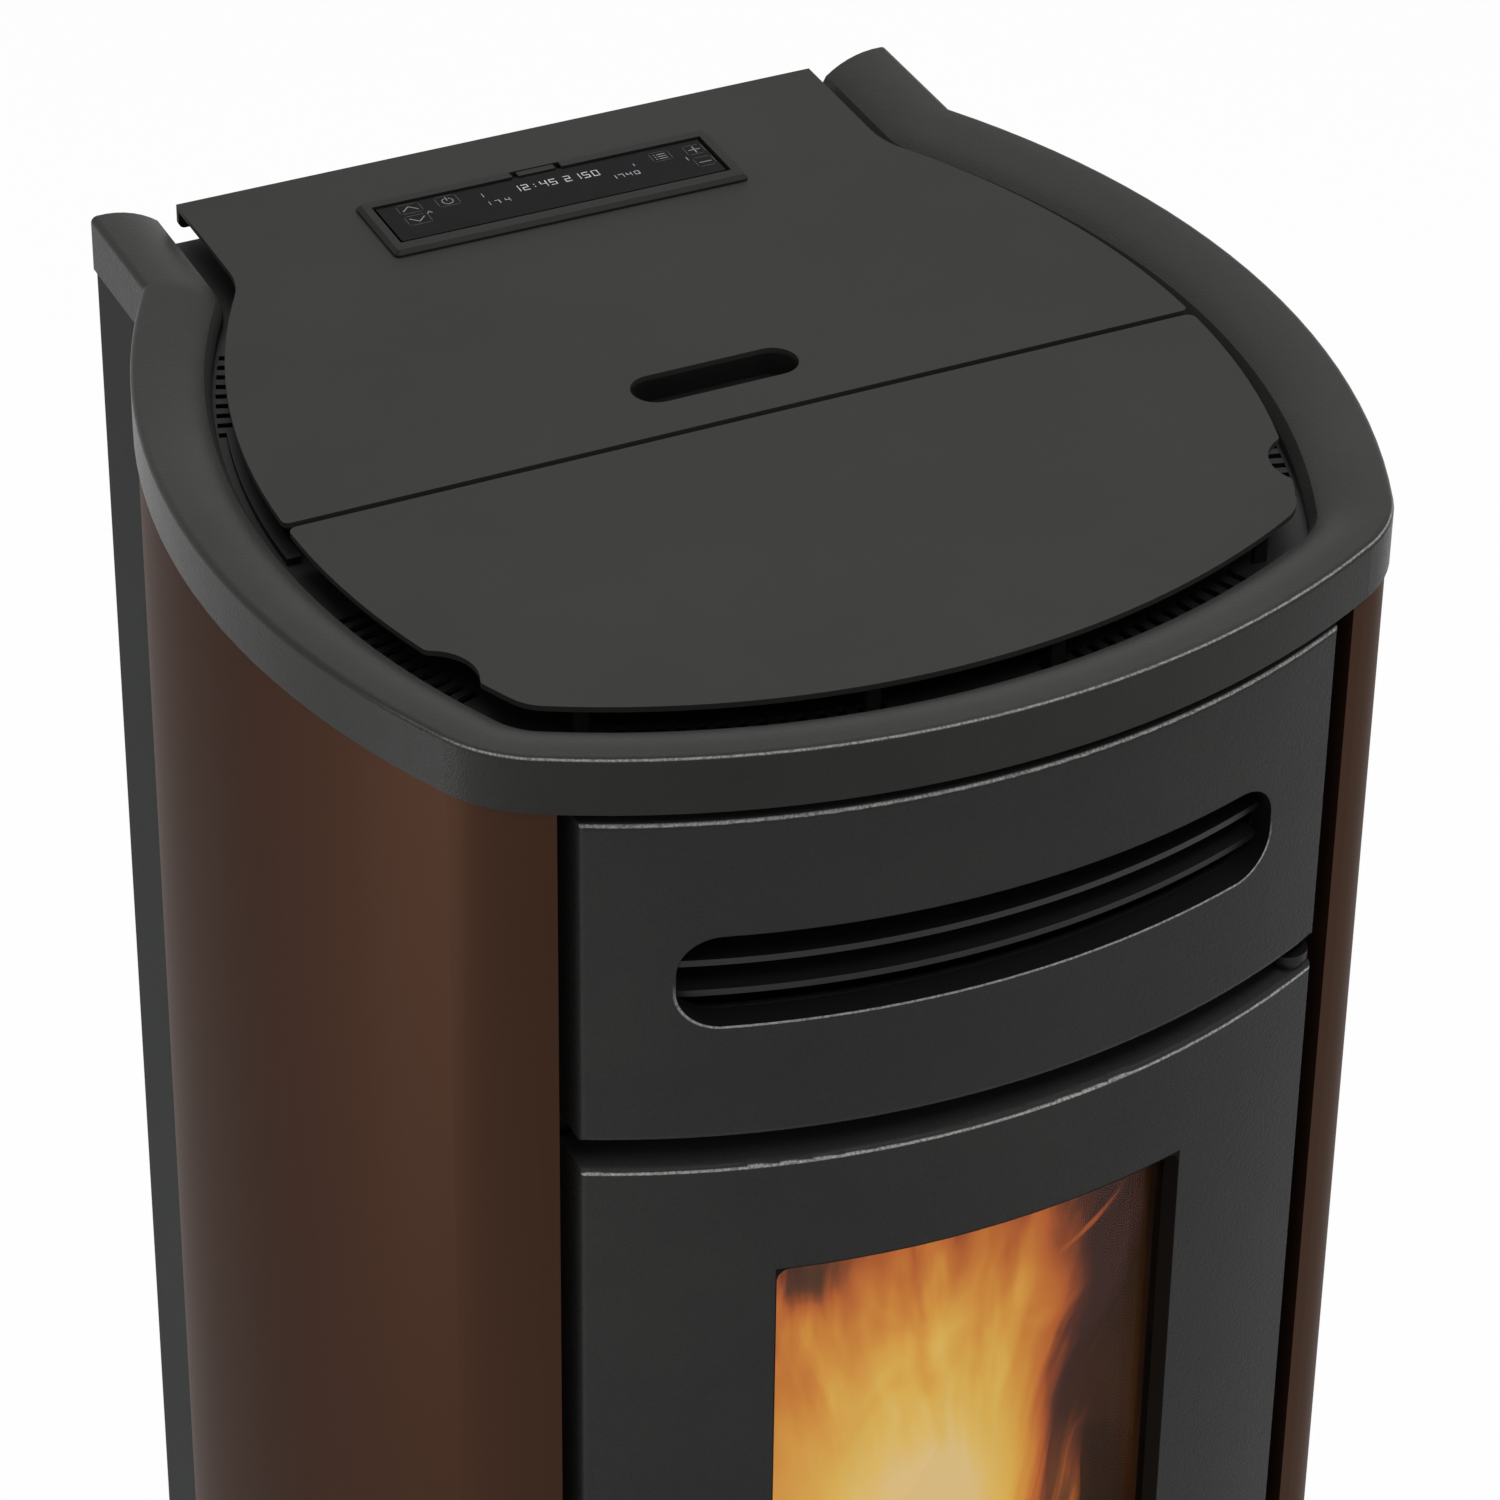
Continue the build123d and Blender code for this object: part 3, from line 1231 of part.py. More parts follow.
with BuildPart() as hopper:
    add(hopper_body(0))
    add(hopper_body(sheet), mode=Mode.SUBTRACT)
    add(auger_bar(auger_r, -auger_down, auger_up), mode=Mode.SUBTRACT)
    with BuildSketch(auger_axis.offset(-2 * auger_down)):
        with Locations((0, -2 * auger_r)):
            Rectangle(4 * auger_r, 4 * auger_r)
    extrude(amount=2 * auger_down + 2 * auger_up, mode=Mode.SUBTRACT)
finish(hopper, "hopper")

gasket_lap = 4.0           # gasket on either side of the hopper's rim
with BuildPart() as hopper_gasket:
    outer = rect(-hopper_half - 2, hopper_half + 2, hopper_y0 - 2, hopper_y1 + 2, 4)
    with BuildSketch(Plane.XY.offset(hopper_top)):
        add(outer)
        add(rect(-hopper_half + gasket_lap, hopper_half - gasket_lap, hopper_y0 + gasket_lap,
                 hopper_y1 - gasket_lap), mode=Mode.SUBTRACT)
    extrude(amount=lid_under - running - hopper_top)
    with BuildSketch(Plane.XY.offset(hopper_top)):
        add(outer)
        add(rect(-hopper_half, hopper_half, hopper_y0, hopper_y1), mode=Mode.SUBTRACT)
    extrude(amount=-4)
finish(hopper_gasket, "hopper_gasket")

# ================================================================ pellet feed
auger_bore = 27.5
flight_r = 25.5
flight_pitch = 38.0
flight_thick = 3.0
core_r = 8.0
motor_long = 45.0

with BuildPart() as auger_tube:
    add(auger_bar(auger_r, -auger_down, auger_up))
    add(auger_bar(auger_bore, -auger_down + plate, auger_up), mode=Mode.SUBTRACT)
    add(auger_bar(core_r + running, -auger_down, 0), mode=Mode.SUBTRACT)
    with BuildSketch(auger_axis.offset(-auger_down)):
        RectangleRounded(70, 70, 6)
        Circle(core_r + running, mode=Mode.SUBTRACT)
    extrude(amount=plate)
    with BuildSketch(Plane.XY.offset(throat_z)):
        add(rect(-throat_half + sheet, throat_half - sheet, throat_y0 + sheet, throat_y1 - sheet))
    extrude(amount=auger_z - throat_z, mode=Mode.SUBTRACT)
finish(auger_tube, "auger_tube")

flight_mid = (flight_r + core_r - 0.5) / 2
flight_low = -auger_down + 4
with BuildPart() as upright_flight:
    with BuildLine() as spiral:
        Helix(flight_pitch, auger_up - flight_low - 3, flight_mid)
    with BuildSketch(Plane(origin=spiral.line @ 0, x_dir=(1, 0, 0), z_dir=spiral.line % 0)):
        Rectangle(flight_r - core_r + 0.5, flight_thick)
    sweep(is_frenet=True)

with BuildPart() as auger_screw:
    with Locations(auger_axis.offset(flight_low)):
        add(upright_flight.part)
    add(auger_bar(core_r, -auger_down - 12, auger_up - 2))
finish(auger_screw, "auger_screw")

with BuildPart() as auger_gearmotor:
    with BuildSketch(auger_axis.offset(-auger_down)):
        RectangleRounded(60, 60, 5)
    extrude(amount=-motor_long / 2)
    with BuildSketch(auger_axis.offset(-auger_down - motor_long / 2)):
        Circle(28)
    extrude(amount=-motor_long / 2)
    with BuildSketch(auger_axis.offset(-auger_down)):
        Circle(core_r + running)
    extrude(amount=-13, mode=Mode.SUBTRACT)
finish(auger_gearmotor, "auger_gearmotor")

chute_origin = (0, end_y - chute_half * c45, end_z + chute_half * c45)
chute_axis = Plane(origin=chute_origin, x_dir=(1, 0, 0), z_dir=(0, -1, -1))
with BuildPart() as pellet_chute:
    with BuildSketch(chute_axis.offset(-auger_r - 4)):
        Rectangle(2 * chute_half, 2 * chute_half)
    extrude(amount=auger_r + 4 + 64)
    with BuildSketch(chute_axis.offset(-auger_r - 4 + sheet)):
        Rectangle(2 * (chute_half - sheet), 2 * (chute_half - sheet))
    extrude(amount=auger_r + 4 + 64, mode=Mode.SUBTRACT)
    add(auger_bar(auger_bore - sheet, auger_up - 1, auger_up + 4), mode=Mode.SUBTRACT)
finish(pellet_chute, "pellet_chute")

# ================================================================ flue gas path
channel_deep = 28.0
channel_low = 110.0
channel_high = 900.0
channel_foot_y = 190.0
channel_foot_z = 215.0
fan_x0, fan_x1 = 92.0, box_half
fan_y, fan_z = 140.0, 165.0
scroll_r = 62.0
outlet_top = 183.0
outlet_y = 205.0
spigot_r = 40.0
spigot_bore_r = spigot_r - pipe_step - plate
spigot_x = (fan_x0 + fan_x1) / 2
spigot_z = (fan_z - scroll_r + outlet_top) / 2
fan_eye_r = 30.0
wheel_r = 46.0
fume_shaft_r = 4.0
blade_count = 12


def channel_side(shrink):
    """L-shaped side profile of the flue channel; local x to the back, local y up."""
    y0, y1 = channel_y0 + shrink, y_exchange - shrink
    z0 = channel_low + shrink
    with BuildSketch(mode=Mode.PRIVATE) as profile:
        with BuildLine():
            Polyline((y0, z0), (y0, channel_high - shrink), (y1, channel_high - shrink),
                     (y1, channel_foot_z - shrink), (channel_foot_y - shrink, channel_foot_z - shrink),
                     (channel_foot_y - shrink, z0), close=True)
        make_face()
    return profile.sketch


with BuildPart() as fume_channel:
    with BuildSketch(side_plane(box_half)):
        add(channel_side(0))
    extrude(amount=channel_deep)
    with BuildSketch(side_plane(box_half + plate)):
        add(channel_side(plate))
    extrude(amount=channel_deep - 2 * plate, mode=Mode.SUBTRACT)
    with BuildSketch(side_plane(box_half)):
        add(rect(channel_y0 + window_in - 2, y_exchange - window_in, box_top + 6,
                 box_top + 6 + window_tall))
        with Locations((fan_y, fan_z)):
            Circle(fan_eye_r)
    extrude(amount=plate, mode=Mode.SUBTRACT)
finish(fume_channel, "fume_channel")


def scroll(shrink):
    """Fume fan's side profile with its outlet to the back."""
    with BuildSketch(mode=Mode.PRIVATE) as profile:
        with Locations((fan_y, fan_z)):
            Circle(scroll_r - shrink)
        add(rect(fan_y, outlet_y + shrink, fan_z - scroll_r + shrink, outlet_top - shrink))
    return profile.sketch


with BuildPart() as fume_fan_housing:
    with BuildSketch(side_plane(fan_x0)):
        add(scroll(0))
    extrude(amount=fan_x1 - fan_x0)
    with BuildSketch(cross_plane(outlet_y, spigot_z)):
        with Locations((spigot_x, 0)):
            Circle(spigot_r + 8)
    extrude(amount=4)
    with BuildSketch(cross_plane(outlet_y, spigot_z)):
        with Locations((spigot_x, 0)):
            Circle(spigot_r - pipe_step)
    extrude(amount=-(y_rear - outlet_y))
    with BuildSketch(cross_plane(y_rear, spigot_z)):
        with Locations((spigot_x, 0)):
            Circle(spigot_r)
    extrude(amount=-spigot_out)
    with BuildSketch(Plane.XY.offset(base_level)):
        add(rect(fan_x0 + 5, fan_x0 + 5 + plate, fan_y - 30, fan_y + 30))
        add(rect(fan_x0 + 5, fan_x1 - 5, fan_y - 30, fan_y - 30 + plate))
    extrude(amount=fan_z - scroll_r + 12 - base_level)
    with BuildSketch(side_plane(fan_x0 + plate)):
        add(scroll(plate))
    extrude(amount=fan_x1 - fan_x0 - 2 * plate, mode=Mode.SUBTRACT)
    with BuildSketch(cross_plane(outlet_y - 10, spigot_z)):
        with Locations((spigot_x, 0)):
            Circle(min(spigot_bore_r, (fan_x1 - fan_x0) / 2 - plate))
    extrude(amount=-12, mode=Mode.SUBTRACT)
    with BuildSketch(cross_plane(outlet_y + plate, spigot_z)):
        with Locations((spigot_x, 0)):
            Circle(spigot_bore_r)
    extrude(amount=-(y_rear + spigot_out - outlet_y), mode=Mode.SUBTRACT)
    with BuildSketch(side_plane(fan_x0)):
        with Locations((fan_y, fan_z)):
            Circle(fume_shaft_r + running)
    extrude(amount=plate, mode=Mode.SUBTRACT)
    with BuildSketch(side_plane(fan_x1)):
        with Locations((fan_y, fan_z)):
            Circle(fan_eye_r)
    extrude(amount=-plate, mode=Mode.SUBTRACT)
finish(fume_fan_housing, "fume_fan_housing")

with BuildPart() as fume_impeller:
    with BuildSketch(side_plane(fan_x0 + plate + 4)):
        with Locations((fan_y, fan_z)):
            Circle(wheel_r)
    extrude(amount=2)
    with BuildSketch(side_plane(fan_x0 - 15)):
        with Locations((fan_y, fan_z)):
            Circle(fume_shaft_r)
    extrude(amount=plate + 40)
    with BuildSketch(side_plane(fan_x0 + plate + 5)):
        with Locations((fan_y, fan_z)):
            with PolarLocations(wheel_r - 11, blade_count):
                Rectangle(20, 1.5, rotation=30)
    extrude(amount=28)
finish(fume_impeller, "fume_impeller")

with BuildPart() as fume_fan_motor:
    with BuildSketch(side_plane(fan_x0)):
        with Locations((fan_y, fan_z)):
            Circle(34)
    extrude(amount=-38)
    fillet(fume_fan_motor.edges().filter_by(GeomType.CIRCLE).sort_by(Axis.X)[0], 5)
    with BuildSketch(side_plane(fan_x0)):
        with Locations((fan_y, fan_z)):
            Circle(fume_shaft_r + running)
    extrude(amount=-16, mode=Mode.SUBTRACT)
finish(fume_fan_motor, "fume_fan_motor")

# ================================================================ room air fan
room_x0, room_x1 = -178.0, -22.0
room_y, room_z = 150.0, 114.0
room_scroll_r = 48.0
room_drum_r = 38.0
room_top = 176.0
room_shaft_r = 4.0


def room_scroll(shrink):
    """Room fan's side profile with its outlet upward."""
    with BuildSketch(mode=Mode.PRIVATE) as profile:
        with Locations((room_y, room_z)):
            Circle(room_scroll_r - shrink)
        add(rect(room_y - room_scroll_r + shrink, room_y - 6 - shrink, room_z, room_top + shrink))
    return profile.sketch


with BuildPart() as room_fan_housing:
    with BuildSketch(side_plane(room_x0)):
        add(room_scroll(0))
    extrude(amount=room_x1 - room_x0)
    with BuildSketch(Plane.XY.offset(base_level)):
        add(rect(room_x0, room_x1, room_y - 36, room_y + 36))
    extrude(amount=plate)
    for x in (room_x0 + 10, room_x1 - 10 - plate):
        with BuildSketch(Plane.XY.offset(base_level)):
            add(rect(x, x + plate, room_y - 25, room_y + 25))
        extrude(amount=room_z - room_scroll_r / 2 - base_level)
    with BuildSketch(side_plane(room_x0 + plate)):
        add(room_scroll(plate))
    extrude(amount=room_x1 - room_x0 - 2 * plate, mode=Mode.SUBTRACT)
    for x in (room_x0, room_x1 - plate):
        with BuildSketch(side_plane(x)):
            with Locations((room_y, room_z)):
                Circle(room_drum_r - 6)
        extrude(amount=plate, mode=Mode.SUBTRACT)
finish(room_fan_housing, "room_fan_housing")

with BuildPart() as room_fan_drum:
    for x in (room_x0 + 5, (room_x0 + room_x1) / 2, room_x1 - 7):
        with BuildSketch(side_plane(x)):
            with Locations((room_y, room_z)):
                Circle(room_drum_r)
                Circle(room_drum_r - 9, mode=Mode.SUBTRACT)
        extrude(amount=2)
    with BuildSketch(side_plane((room_x0 + room_x1) / 2)):
        with Locations((room_y, room_z)):
            Circle(room_drum_r - 1)
    extrude(amount=2)
    with BuildSketch(side_plane(room_x0 + 5)):
        with Locations((room_y, room_z)):
            with PolarLocations(room_drum_r - 4.5, 24):
                Rectangle(8, 1, rotation=35)
    extrude(amount=room_x1 - room_x0 - 10)
    with BuildSketch(side_plane((room_x0 + room_x1) / 2)):
        with Locations((room_y, room_z)):
            Circle(room_shaft_r)
    extrude(amount=room_x1 + 12 - (room_x0 + room_x1) / 2)
finish(room_fan_drum, "room_fan_drum")

with BuildPart() as room_fan_motor:
    with BuildSketch(side_plane(room_x1)):
        with Locations((room_y, room_z)):
            Circle(room_drum_r)
    extrude(amount=plate)
    with BuildSketch(side_plane(room_x1 + plate)):
        with Locations((room_y, room_z)):
            Circle(30)
    extrude(amount=42)
    fillet(room_fan_motor.edges().filter_by(GeomType.CIRCLE).sort_by(Axis.X)[-1], 5)
    with BuildSketch(side_plane(room_x1)):
        with Locations((room_y, room_z)):
            Circle(room_shaft_r + running)
    extrude(amount=14, mode=Mode.SUBTRACT)
finish(room_fan_motor, "room_fan_motor")

# ================================================================ rear panel and electrics
rear_half = 190.0
rear_top = 1020.0
inlet_x, inlet_z = -138.0, 205.0
inlet_wide, inlet_tall = 27.4, 20.0
switch_z = inlet_z + 34
switch_wide, switch_tall = 21.0, 15.0
vent_rows = ((430.0, 9), (760.0, 9))

with BuildPart() as rear_panel:
    with BuildSketch(cross_plane(rear_plane)):
        add(rect(-rear_half, rear_half, base_level, rear_top))
        with Locations((spigot_x, spigot_z)):
            Circle(spigot_r + 2, mode=Mode.SUBTRACT)
        with Locations((intake_x, intake_z)):
            Circle(intake_r + 2, mode=Mode.SUBTRACT)
        with Locations((inlet_x, inlet_z)):
            Rectangle(inlet_wide, inlet_tall, mode=Mode.SUBTRACT)
        with Locations((inlet_x, switch_z)):
            Rectangle(switch_wide, switch_tall, mode=Mode.SUBTRACT)
        for z in rear_screw_z:
            with Locations((rear_screw_x, z), (-rear_screw_x, z)):
                Circle(rear_screw_r, mode=Mode.SUBTRACT)
        for z, count in vent_rows:
            for x in (-90, 90):
                with Locations((x, z)):
                    with GridLocations(1, 16, 1, count):
                        SlotOverall(110, 5, mode=Mode.SUBTRACT)
        with Locations((-60, 112)):
            with GridLocations(1, 14, 1, 5):
                SlotOverall(100, 5, mode=Mode.SUBTRACT)
    extrude(amount=-sheet)
    with BuildSketch(Plane.XY.offset(rear_top)):
        add(rect(-rear_half, rear_half, rear_flange_y - 10, rear_plane + sheet))
    extrude(amount=-sheet)
finish(rear_panel, "rear_panel")

outer_face = rear_plane + sheet
well_half_x, well_half_z = 9.0, 6.0
well_deep = 12.0
rocker_pin_r = 1.2
rocker_y = outer_face - 2.0
module_z = (inlet_z + switch_z) / 2

with BuildPart() as mains_inlet:
    with BuildSketch(cross_plane(outer_face, module_z)):
        with Locations((inlet_x, 0)):
            RectangleRounded(48, 62, 4)
    extrude(amount=-2)
    with BuildSketch(cross_plane(outer_face)):
        with Locations((inlet_x, inlet_z)):
            Rectangle(inlet_wide - 0.4, inlet_tall - 0.4)
    extrude(amount=26)
    with BuildSketch(cross_plane(outer_face)):
        with Locations((inlet_x, switch_z)):
            Rectangle(switch_wide - 0.4, switch_tall - 0.4)
    extrude(amount=well_deep + 3)
    with BuildSketch(cross_plane(outer_face + 2)):
        with Locations((inlet_x, inlet_z)):
            RectangleRounded(inlet_wide - 3.4, inlet_tall - 4.4, 3)
    extrude(amount=18, mode=Mode.SUBTRACT)
    with BuildSketch(cross_plane(outer_face + 2)):
        with Locations((inlet_x, switch_z)):
            Rectangle(2 * well_half_x, 2 * well_half_z)
    extrude(amount=well_deep + 2, mode=Mode.SUBTRACT)
    with BuildSketch(side_plane(inlet_x - well_half_x - 1)):
        with Locations((rocker_y, switch_z)):
            Circle(rocker_pin_r + pin_play)
    extrude(amount=2 * well_half_x + 2, mode=Mode.SUBTRACT)
    with BuildSketch(cross_plane(outer_face - 16)):
        with Locations((inlet_x, inlet_z + 3), (inlet_x - 7, inlet_z - 2), (inlet_x + 7, inlet_z - 2)):
            Rectangle(2, 4)
    extrude(amount=-13)
finish(mains_inlet, "mains_inlet")

rocker_tilt = 8.0
with BuildPart() as rocker_switch:
    with BuildSketch(mode=Mode.PRIVATE) as rocker_profile:
        with BuildLine():
            Polyline((-5, -3.2), (3.5, -5.2), (6.2, -5), (4.6, 0), (6.2, 5), (3.5, 5.2), (-5, 3.2),
                     close=True)
        make_face()
    with BuildSketch(side_plane(inlet_x - well_half_x + running)):
        with Locations((rocker_y, switch_z)):
            add(rocker_profile.sketch, rotation=rocker_tilt)
    extrude(amount=2 * (well_half_x - running))
    with BuildSketch(side_plane(inlet_x - well_half_x - 0.9)):
        with Locations((rocker_y, switch_z)):
            Circle(rocker_pin_r)
    extrude(amount=2 * well_half_x + 1.8)
finish(rocker_switch, "rocker_switch")

board_x = -rear_half + 2.5
board_thick = 1.6
board_y0, board_y1 = kink_y + 4.3, y_rear - 6.5
board_z0, board_z1 = 300.0, 460.0
with BuildPart() as control_board:
    with BuildSketch(side_plane(board_x)):
        add(rect(board_y0, board_y1, board_z0, board_z1, 2))
    extrude(amount=board_thick)
    with BuildSketch(side_plane(board_x)):
        for z in (board_z0 + 6, board_z1 - 6):
            with Locations((board_y0 + 6, z), (board_y1 - 6, z)):
                Circle(3)
    extrude(amount=skin_inset + sheet - arm_half - board_x)
    with BuildSketch(side_plane(board_x + board_thick)):
        with Locations(((board_y0 + board_y1) / 2, board_z0 + 40)):
            with GridLocations(20, 18, 2, 3):
                Rectangle(15, 12)
        with Locations(((board_y0 + board_y1) / 2, board_z1 - 45)):
            Rectangle(30, 34)
    extrude(amount=12)
    with BuildSketch(side_plane(board_x + board_thick)):
        with Locations((board_y0 + 14, board_z0 + 90), (board_y1 - 14, board_z0 + 90)):
            Circle(6)
    extrude(amount=18)
finish(control_board, "control_board")

with BuildPart() as panel_screws:
    for z in rear_screw_z:
        with BuildSketch(cross_plane(y_rear, z)):
            with Locations((rear_screw_x, 0), (-rear_screw_x, 0)):
                Circle(4)
        extrude(amount=-2)
        with BuildSketch(cross_plane(y_rear, z)):
            with Locations((rear_screw_x, 0), (-rear_screw_x, 0)):
                Circle(rear_screw_r - 0.2)
        extrude(amount=8)
        with BuildSketch(cross_plane(y_rear + 2, z)):
            with Locations((rear_screw_x, 0), (-rear_screw_x, 0)):
                RegularPolygon(1.6, 6)
        extrude(amount=1.2, mode=Mode.SUBTRACT)
finish(panel_screws, "panel_screws")
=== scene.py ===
"""Looks of the pellet stove: finishes, the display's signs, the fire behind the glass, stage, light and camera.

Lengths are in metres, apart from the display's signs, which are drawn in mm. The frame is the CAD's: x to the
right, y to the back, z up from the floor.
"""
import math
import random

import bpy
from mathutils import Matrix, Vector


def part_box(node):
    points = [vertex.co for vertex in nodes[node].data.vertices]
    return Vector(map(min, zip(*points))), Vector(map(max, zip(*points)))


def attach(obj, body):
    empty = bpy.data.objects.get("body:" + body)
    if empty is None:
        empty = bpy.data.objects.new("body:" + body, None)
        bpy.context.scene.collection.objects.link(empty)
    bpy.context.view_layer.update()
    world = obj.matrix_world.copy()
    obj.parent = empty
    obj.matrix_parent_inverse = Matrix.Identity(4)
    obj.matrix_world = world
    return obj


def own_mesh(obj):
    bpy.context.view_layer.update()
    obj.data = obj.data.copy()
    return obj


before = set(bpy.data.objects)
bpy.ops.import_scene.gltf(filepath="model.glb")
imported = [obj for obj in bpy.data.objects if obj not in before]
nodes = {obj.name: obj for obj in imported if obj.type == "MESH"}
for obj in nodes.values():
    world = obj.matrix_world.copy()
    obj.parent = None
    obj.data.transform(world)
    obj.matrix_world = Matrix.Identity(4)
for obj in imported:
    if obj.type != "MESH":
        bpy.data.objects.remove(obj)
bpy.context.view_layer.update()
MM = 0.001
WHITE = (1, 1, 1, 1)


# ---------------------------------------------------------------- small helpers
def linear(code):
    """Linear colour of an sRGB code such as '#3a3a38'."""
    parts = [int(code[i:i + 2], 16) / 255 for i in (1, 3, 5)]
    return tuple(p / 12.92 if p <= 0.04045 else ((p + 0.055) / 1.055) ** 2.4 for p in parts) + (1.0,)


class Tree:
    """Short calls for building a material's nodes."""

    def __init__(self, name):
        self.mat = bpy.data.materials.new(name)
        self.mat.use_nodes = True
        self.nodes = self.mat.node_tree.nodes
        self.links = self.mat.node_tree.links
        self.shader = self.nodes["Principled BSDF"]
        self.out = self.nodes["Material Output"]
        self.place = self.add("ShaderNodeTexCoord").outputs["Object"]

    def add(self, kind, **values):
        node = self.nodes.new(kind)
        for key, value in values.items():
            setattr(node, key, value)
        return node

    def put(self, socket, value):
        """Link a socket, or set it to a constant."""
        if isinstance(value, bpy.types.NodeSocket):
            self.links.new(value, socket)
        else:
            socket.default_value = value

    def set(self, name, value):
        """Link or set an input of the shader."""
        self.put(self.shader.inputs[name], value)

    def math(self, operation, a, b=0.0, clamp=False):
        node = self.add("ShaderNodeMath", operation=operation, use_clamp=clamp)
        self.put(node.inputs[0], a)
        self.put(node.inputs[1], b)
        return node.outputs[0]

    def product(self, first, *others):
        """Product of two or more values."""
        for other in others:
            first = self.math("MULTIPLY", first, other)
        return first

    def distance(self, a, b):
        """Length of the flat vector a, b."""
        return self.math("SQRT", self.math("ADD", self.product(a, a), self.product(b, b)))

    def centred(self, noise):
        """Noise moved so that it wavers about nought."""
        return self.math("SUBTRACT", noise, 0.5)

    def split(self, vector=None):
        """The x, y and z of a vector, or else of the object coordinates."""
        node = self.add("ShaderNodeSeparateXYZ")
        self.links.new(vector or self.place, node.inputs[0])
        return tuple(node.outputs)

    def stretch(self, x=1.0, y=1.0, z=1.0, shift=(0, 0, 0)):
        """Object coordinates scaled along each axis."""
        node = self.add("ShaderNodeMapping")
        self.links.new(self.place, node.inputs["Vector"])
        node.inputs["Scale"].default_value = (x, y, z)
        node.inputs["Location"].default_value = shift
        return node.outputs[0]

    def noise(self, scale, detail=3.0, rough=0.55, warp=0.0, vector=None):
        node = self.add("ShaderNodeTexNoise")
        node.inputs["Scale"].default_value = scale
        node.inputs["Detail"].default_value = detail
        node.inputs["Roughness"].default_value = rough
        node.inputs["Distortion"].default_value = warp
        self.links.new(vector or self.place, node.inputs["Vector"])
        return node.outputs["Fac"]

    def spread(self, value, low, high, to_low=0.0, to_high=1.0, smooth=False):
        """Value mapped from one span to another, clamped."""
        node = self.add("ShaderNodeMapRange", interpolation_type="SMOOTHSTEP" if smooth else "LINEAR")
        self.links.new(value, node.inputs["Value"])
        for key, number in (("From Min", low), ("From Max", high), ("To Min", to_low), ("To Max", to_high)):
            node.inputs[key].default_value = number
        return node.outputs["Result"]

    def ramp(self, value, stops):
        """Colour ramp; stops are (position, colour code)."""
        node = self.add("ShaderNodeValToRGB")
        band = node.color_ramp
        while len(band.elements) < len(stops):
            band.elements.new(0.5)
        for element, (position, code) in zip(band.elements, stops):
            element.position = position
            element.color = linear(code)
        self.links.new(value, node.inputs["Fac"])
        return node.outputs["Color"]

    def blend(self, amount, a, b):
        """Mix of two colours."""
        node = self.add("ShaderNodeMix", data_type="RGBA")
        self.put(node.inputs["Factor"], amount)
        self.put(node.inputs[6], a)
        self.put(node.inputs[7], b)
        return node.outputs[2]

    def bump(self, height, strength, distance):
        node = self.add("ShaderNodeBump")
        node.inputs["Strength"].default_value = strength
        node.inputs["Distance"].default_value = distance
        self.links.new(height, node.inputs["Height"])
        return node.outputs[0]


def put_in_scene(mesh, material, body):
    """Object for a mesh, with a material, riding on a CAD body."""
    thing = bpy.data.objects.new(mesh.name, mesh)
    bpy.context.scene.collection.objects.link(thing)
    mesh.materials.append(material)
    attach(thing, body)
    return thing


def new_mesh(name, verts, faces):
    mesh = bpy.data.meshes.new(name)
    mesh.from_pydata(verts, [], faces)
    return mesh


# ---------------------------------------------------------------- finishes
# Pale grey of the painted highlights on edges and rims; the two darks are painted shade inside the slot and the
# window opening
PAINTED_HIGHLIGHT = "#b4b4b2"
SLOT_SHADE = "#121212"
WINDOW_SHADE = "#181717"

# Heights of the top rims of the three castings, along which highlight lines are painted
DRAWER_RIM = 0.3238
DOOR_RIM = 0.8517
GRILLE_RIM = 1.0238

# The air slot of the upper casting, with the start and width of the painted highlight line along its lower rim;
# its inside gets painted shade
AIR_SLOT = dict(half=0.1345, mid=0.947, half_tall=0.022, radius=0.018, start=0.0002, wide=0.0011)
# The door's window opening, which gets painted shade inside
DOOR_WINDOW = dict(half=0.0945, low=0.5, high=0.797)


def rim_lines(t, heights):
    """Mask of thin level lines at given heights, for painted highlights."""
    z = t.split()[2]
    lines = 0.0
    for height in heights:
        off = t.math("ABSOLUTE", t.math("SUBTRACT", z, height))
        lines = t.math("MAXIMUM", lines, t.spread(off, 0.0003, 0.0008, 1.0, 0.0))
    return lines


def painted_edge_highlights(t, amount, rims):
    """Mask of painted highlights on the front edges, broken into glints.

    It follows the lines at the given heights, or without any the band of each rounded edge that faces half up.
    """
    normal = t.add("ShaderNodeNewGeometry").outputs["Normal"]
    _, back, up = t.split(normal)
    if rims:
        band = rim_lines(t, rims)
    else:
        band = t.product(t.spread(up, 0.46, 0.58), t.spread(up, 0.70, 0.80, 1.0, 0.0))
    front = t.spread(t.product(back, -1.0), 0.25, 0.5)
    outward = t.add("ShaderNodeVectorMath", operation="DOT_PRODUCT")
    t.links.new(normal, outward.inputs[0])
    t.links.new(t.stretch(1.0, 1.0, 0.0), outward.inputs[1])
    outside = t.spread(outward.outputs["Value"], 0.0, 0.03)
    glints = t.spread(t.noise(900, 2.0, 0.7), 0.38, 0.60, 0.35, 1.0)
    return t.product(band, front, outside, glints, amount)


def slot_masks(t, half, mid, half_tall, radius, start, wide):
    """Masks of a round-cornered slot's inside, for painted shade, and of a thin line along its lower rim, for a
    painted highlight.
    """
    x, _, z = t.split()
    down = t.math("SUBTRACT", mid, z)
    dx = t.math("MAXIMUM", t.math("SUBTRACT", t.math("ABSOLUTE", x), half - radius), 0.0)
    dz = t.math("MAXIMUM", t.math("SUBTRACT", t.math("ABSOLUTE", down), half_tall - radius), 0.0)
    out = t.math("SUBTRACT", t.distance(dx, dz), radius)
    off_line = t.math("ABSOLUTE", t.math("SUBTRACT", out, start + wide / 2))
    line = t.math("LESS_THAN", off_line, wide / 2)
    return t.math("LESS_THAN", out, start), t.product(line, t.spread(down, 0.0, half_tall * 0.6))


